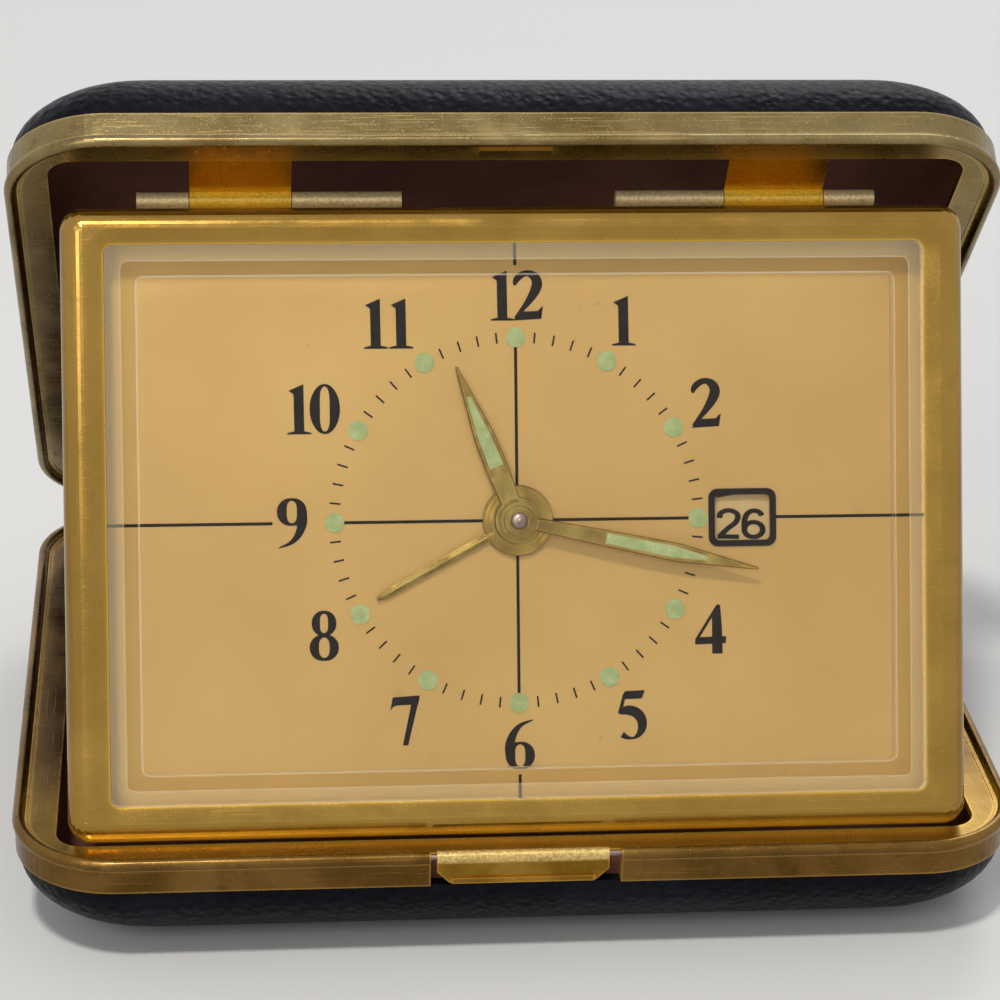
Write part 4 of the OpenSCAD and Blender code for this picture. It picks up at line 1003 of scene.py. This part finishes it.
def hands():
    """The three hands and the cap of their arbor."""
    place, top = slotted_hand(
        "minute_hand", "minute", MINUTE_HUB, MINUTE_BORE, MINUTE_STEPS, MINUTE_EDGE, MINUTE_SLOT)
    arbor_cap(place, top)
    slotted_hand("hour_hand", "hour", HOUR_HUB, HOUR_BORE, HOUR_STEPS, HOUR_EDGE, HOUR_SLOT)
    alarm_hand()


# ---- leather and lining: the domed half shells, finer than their solids ----
# The dome is flat beyond this inset from the case's edge, where its corner radius is DOME_CORNER
DOME_INSET = 15.0
DOME_CORNER = 7.0
# Power of the superellipse that the dome follows
DOME_POWER = 2.1
LEATHER_INSET = 0.5
COVER_T = 1.2
LINING_T = 0.4
# Clearance between leather and lining
GLUE = 0.03
# Height of the gold band of one half
BAND_H = 3.5
CASE_CORNER = 10.0
CORNER_STEPS = 14
DOME_STEPS = 16
SHELL_SHARP = math.radians(40)


def plan_ring(inset, z, case_w, case_d):
    """A rounded rectangle, inset from the edge of the case, at height z."""
    r = CASE_CORNER - inset * (CASE_CORNER - DOME_CORNER) / DOME_INSET
    w, d = case_w / 2 - inset - r, case_d / 2 - inset - r
    ring = []
    for quarter, (sx, sy) in enumerate(((1, 1), (-1, 1), (-1, -1), (1, -1))):
        for k in range(CORNER_STEPS + 1):
            a = math.radians(90 * quarter + 90 * k / CORNER_STEPS)
            ring.append((sx * w + r * math.cos(a), sy * d + r * math.sin(a), z))
    return ring


def dome_point(step, wall):
    """How far in, and how high, the dome lies at one step, on a surface a wall inside it."""
    a = math.radians(90 * step / DOME_STEPS)
    shell_top = CASE_H / 2 - BAND_H
    inset = DOME_INSET - (DOME_INSET - LEATHER_INSET - wall) * math.cos(a) ** (2 / DOME_POWER)
    return inset, shell_top - (shell_top - wall) * math.sin(a) ** (2 / DOME_POWER)


def half_shell(name, outer, inner, rim, slot, body, place, replaced):
    """Closed shell between two dome surfaces. The rim gives extra rings at the mouth."""
    low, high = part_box("base_rim")
    size = (high.x - low.x) / MM, -2 * low.y / MM
    least = rim[0] if rim else 0
    profile = [(rim[0], rim[1])] if rim else []
    for step in range(DOME_STEPS + 1):
        inset, z = dome_point(step, outer)
        profile.append((max(inset, least), z))
    fold = len(profile) - 1
    for step in range(DOME_STEPS, -1, -1):
        inset, z = dome_point(step, inner)
        profile.append((max(inset, least + inner - outer if rim else 0), z))
    if rim:
        profile.append((rim[0] + inner - outer, rim[1]))
    rings = [plan_ring(inset, z, *size) for inset, z in profile]
    n, m = len(rings[0]), len(rings)
    points = [place(p) for ring in rings for p in ring]
    faces = [
        tuple(range(fold * n + n - 1, fold * n - 1, -1)),
        tuple(range((fold + 1) * n, (fold + 2) * n))]
    for j in range(m):
        if j == fold:
            continue
        for i in range(n):
            k = (i + 1) % n
            a, b = j * n, (j + 1) % m * n
            faces.append((a + i, b + i, b + k, a + k))
    if place is in_lid:
        faces = [face[::-1] for face in faces]
    shell = add_piece(name, points, faces, slot, body, smooth=True)
    shell.data.set_sharp_from_angle(angle=SHELL_SHARP)
    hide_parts(replaced)


def leather_and_lining():
    """Both halves of the case, outside and in."""
    wall_in = LEATHER_INSET + COVER_T + GLUE
    _, rim_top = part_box("base_lining")
    lining_top = rim_top.z / MM
    out = COVER_T + GLUE
    mouth = wall_in, lining_top
    for half, place in (("base", in_base), ("lid", in_lid)):
        half_shell(
            half + "_leather", 0, COVER_T, None, "leather", half, place, half + "_cover")
        half_shell(
            half + "_flock", out, out + LINING_T, mouth, "lining", half, place, half + "_lining")


# ---- floor, light and camera ----
WORLD_COLOUR = (0.96, 0.97, 1.0, 1)
WORLD_STRENGTH = 0.36
FLOOR_COLOUR = (0.86, 0.86, 0.85, 1)
# Size of the floor and distance of the lamps, in metres
FLOOR_SIZE = 6
LAMP_DISTANCE = 0.9
# Name, direction from the object, size in metres, watts, colour
LAMPS = (
    ("key", (-0.2, -0.5, 1.0), 0.08, 3.4, (1.0, 0.97, 0.92)),
    ("front", (-0.5, -0.9, 0.62), 0.3, 1.2, (1.0, 0.97, 0.93)),
    ("back", (0.35, 0.9, 0.9), 0.4, 1.8, (1.0, 1.0, 1.0)),
)
WHITE = 0.93
# The floor passes into the pale background between these distances, in metres
FLOOR_NEAR = 0.25
FLOOR_FAR = 1.0


def pale_to_the_eye(tree, surface, output, share=None):
    """Shows a plain pale colour to the camera and to reflections, and the surface to all else.

    Where share is given, it says how much of the pale colour shows.
    """
    on_floor = output.bl_idname == "ShaderNodeOutputMaterial"
    pale = tree.nodes.new("ShaderNodeEmission" if on_floor else "ShaderNodeBackground")
    pale.inputs["Color"].default_value = (WHITE, WHITE, WHITE, 1)
    pale.inputs["Strength"].default_value = 1
    ray = tree.nodes.new("ShaderNodeLightPath")
    seen = ray.outputs["Is Camera Ray"]
    for other in ("Is Glossy Ray", "Is Transmission Ray"):
        either = tree.nodes.new("ShaderNodeMath")
        either.operation = "MAXIMUM"
        tree.links.new(seen, either.inputs[0])
        tree.links.new(ray.outputs[other], either.inputs[1])
        seen = either.outputs[0]
    if share:
        part = tree.nodes.new("ShaderNodeMath")
        part.operation = "MULTIPLY"
        tree.links.new(seen, part.inputs[0])
        tree.links.new(share, part.inputs[1])
        seen = part.outputs[0]
    mix = tree.nodes.new("ShaderNodeMixShader")
    tree.links.new(seen, mix.inputs[0])
    tree.links.new(surface, mix.inputs[1])
    tree.links.new(pale.outputs[0], mix.inputs[2])
    tree.links.new(mix.outputs[0], output.inputs["Surface"])


def make_world():
    """A soft sky for the light, and a plain pale background to the eye."""
    world = bpy.data.worlds.new("studio")
    bpy.context.scene.world = world
    world.use_nodes = True
    tree = world.node_tree
    soft = tree.nodes["Background"]
    soft.inputs["Color"].default_value = WORLD_COLOUR
    soft.inputs["Strength"].default_value = WORLD_STRENGTH
    pale_to_the_eye(tree, soft.outputs[0], tree.nodes["World Output"])


def make_floor():
    """A wide matt floor that passes into the pale background."""
    bpy.ops.mesh.primitive_plane_add(size=FLOOR_SIZE, location=(0, 0, 0))
    floor = bpy.context.object
    floor.name = "floor"
    material = bpy.data.materials.new("floor")
    material.use_nodes = True
    floor.data.materials.append(material)
    tree = material.node_tree
    shader = tree.nodes["Principled BSDF"]
    shader.inputs["Base Color"].default_value = FLOOR_COLOUR
    shader.inputs["Roughness"].default_value = 0.9
    shader.inputs["Specular IOR Level"].default_value = 0.1
    away = tree.nodes.new("ShaderNodeVectorMath")
    away.operation = "LENGTH"
    tree.links.new(tree.nodes.new("ShaderNodeTexCoord").outputs["Object"], away.inputs[0])
    far = tree.nodes.new("ShaderNodeMapRange")
    far.interpolation_type = "SMOOTHSTEP"
    far.inputs["From Min"].default_value = FLOOR_NEAR
    far.inputs["From Max"].default_value = FLOOR_FAR
    tree.links.new(away.outputs["Value"], far.inputs["Value"])
    pale_to_the_eye(tree, shader.outputs[0], tree.nodes["Material Output"], far.outputs["Result"])


def make_lamps():
    """Square area lamps that face the middle of the object."""
    centre = (cad_box[0] + cad_box[1]) / 2
    for name, direction, size, watts, colour in LAMPS:
        lamp = bpy.data.lights.new(name, "AREA")
        lamp.size = size
        lamp.energy = watts
        lamp.color = colour
        obj = bpy.data.objects.new(name, lamp)
        outward = Vector(direction).normalized()
        obj.location = centre + outward * LAMP_DISTANCE
        obj.rotation_euler = outward.to_track_quat("Z", "Y").to_euler()
        bpy.context.scene.collection.objects.link(obj)


# The view of the photograph: turn and height of the camera, its roll, and what it looks at
CAMERA_TURN = math.radians(-5.892)
CAMERA_HEIGHT = math.radians(24.804)
CAMERA_ROLL = math.radians(1.709)
CAMERA_DISTANCE = 302.71
CAMERA_TARGET = (-1.12, -15.0, 38.23)
# Focal length and width of the frame, in pixels
FOCAL_PIXELS = 3088.2
FRAME_PIXELS = 1000
# Width of the camera's sensor
SENSOR = 36.0
# Nearest and farthest that the camera shows, in metres
CLIP = 0.01, 20


def make_camera():
    """The camera of the photograph, with its small roll."""
    back = Vector((
        math.sin(CAMERA_TURN) * math.cos(CAMERA_HEIGHT),
        -math.cos(CAMERA_TURN) * math.cos(CAMERA_HEIGHT),
        math.sin(CAMERA_HEIGHT)))
    level = (-back).cross(Vector((0, 0, 1))).normalized()
    up = back.cross(level)
    right = level * math.cos(CAMERA_ROLL) + up * math.sin(CAMERA_ROLL)
    top = up * math.cos(CAMERA_ROLL) - level * math.sin(CAMERA_ROLL)
    data = bpy.data.cameras.new("camera")
    data.sensor_width = SENSOR
    data.lens = SENSOR * FOCAL_PIXELS / FRAME_PIXELS
    data.clip_start, data.clip_end = CLIP
    camera = bpy.data.objects.new("camera", data)
    bpy.context.scene.collection.objects.link(camera)
    turn = Matrix((right, top, back)).transposed().to_4x4()
    place = (Vector(CAMERA_TARGET) + back * CAMERA_DISTANCE) * MM
    camera.matrix_world = Matrix.Translation(place) @ turn
    bpy.context.scene.camera = camera


make_camera()
make_world()
make_floor()
make_lamps()
dress_cad_nodes()
leather_and_lining()
dial_print()
date_print()
hands()

bpy.context.scene.view_settings.view_transform = "Standard"
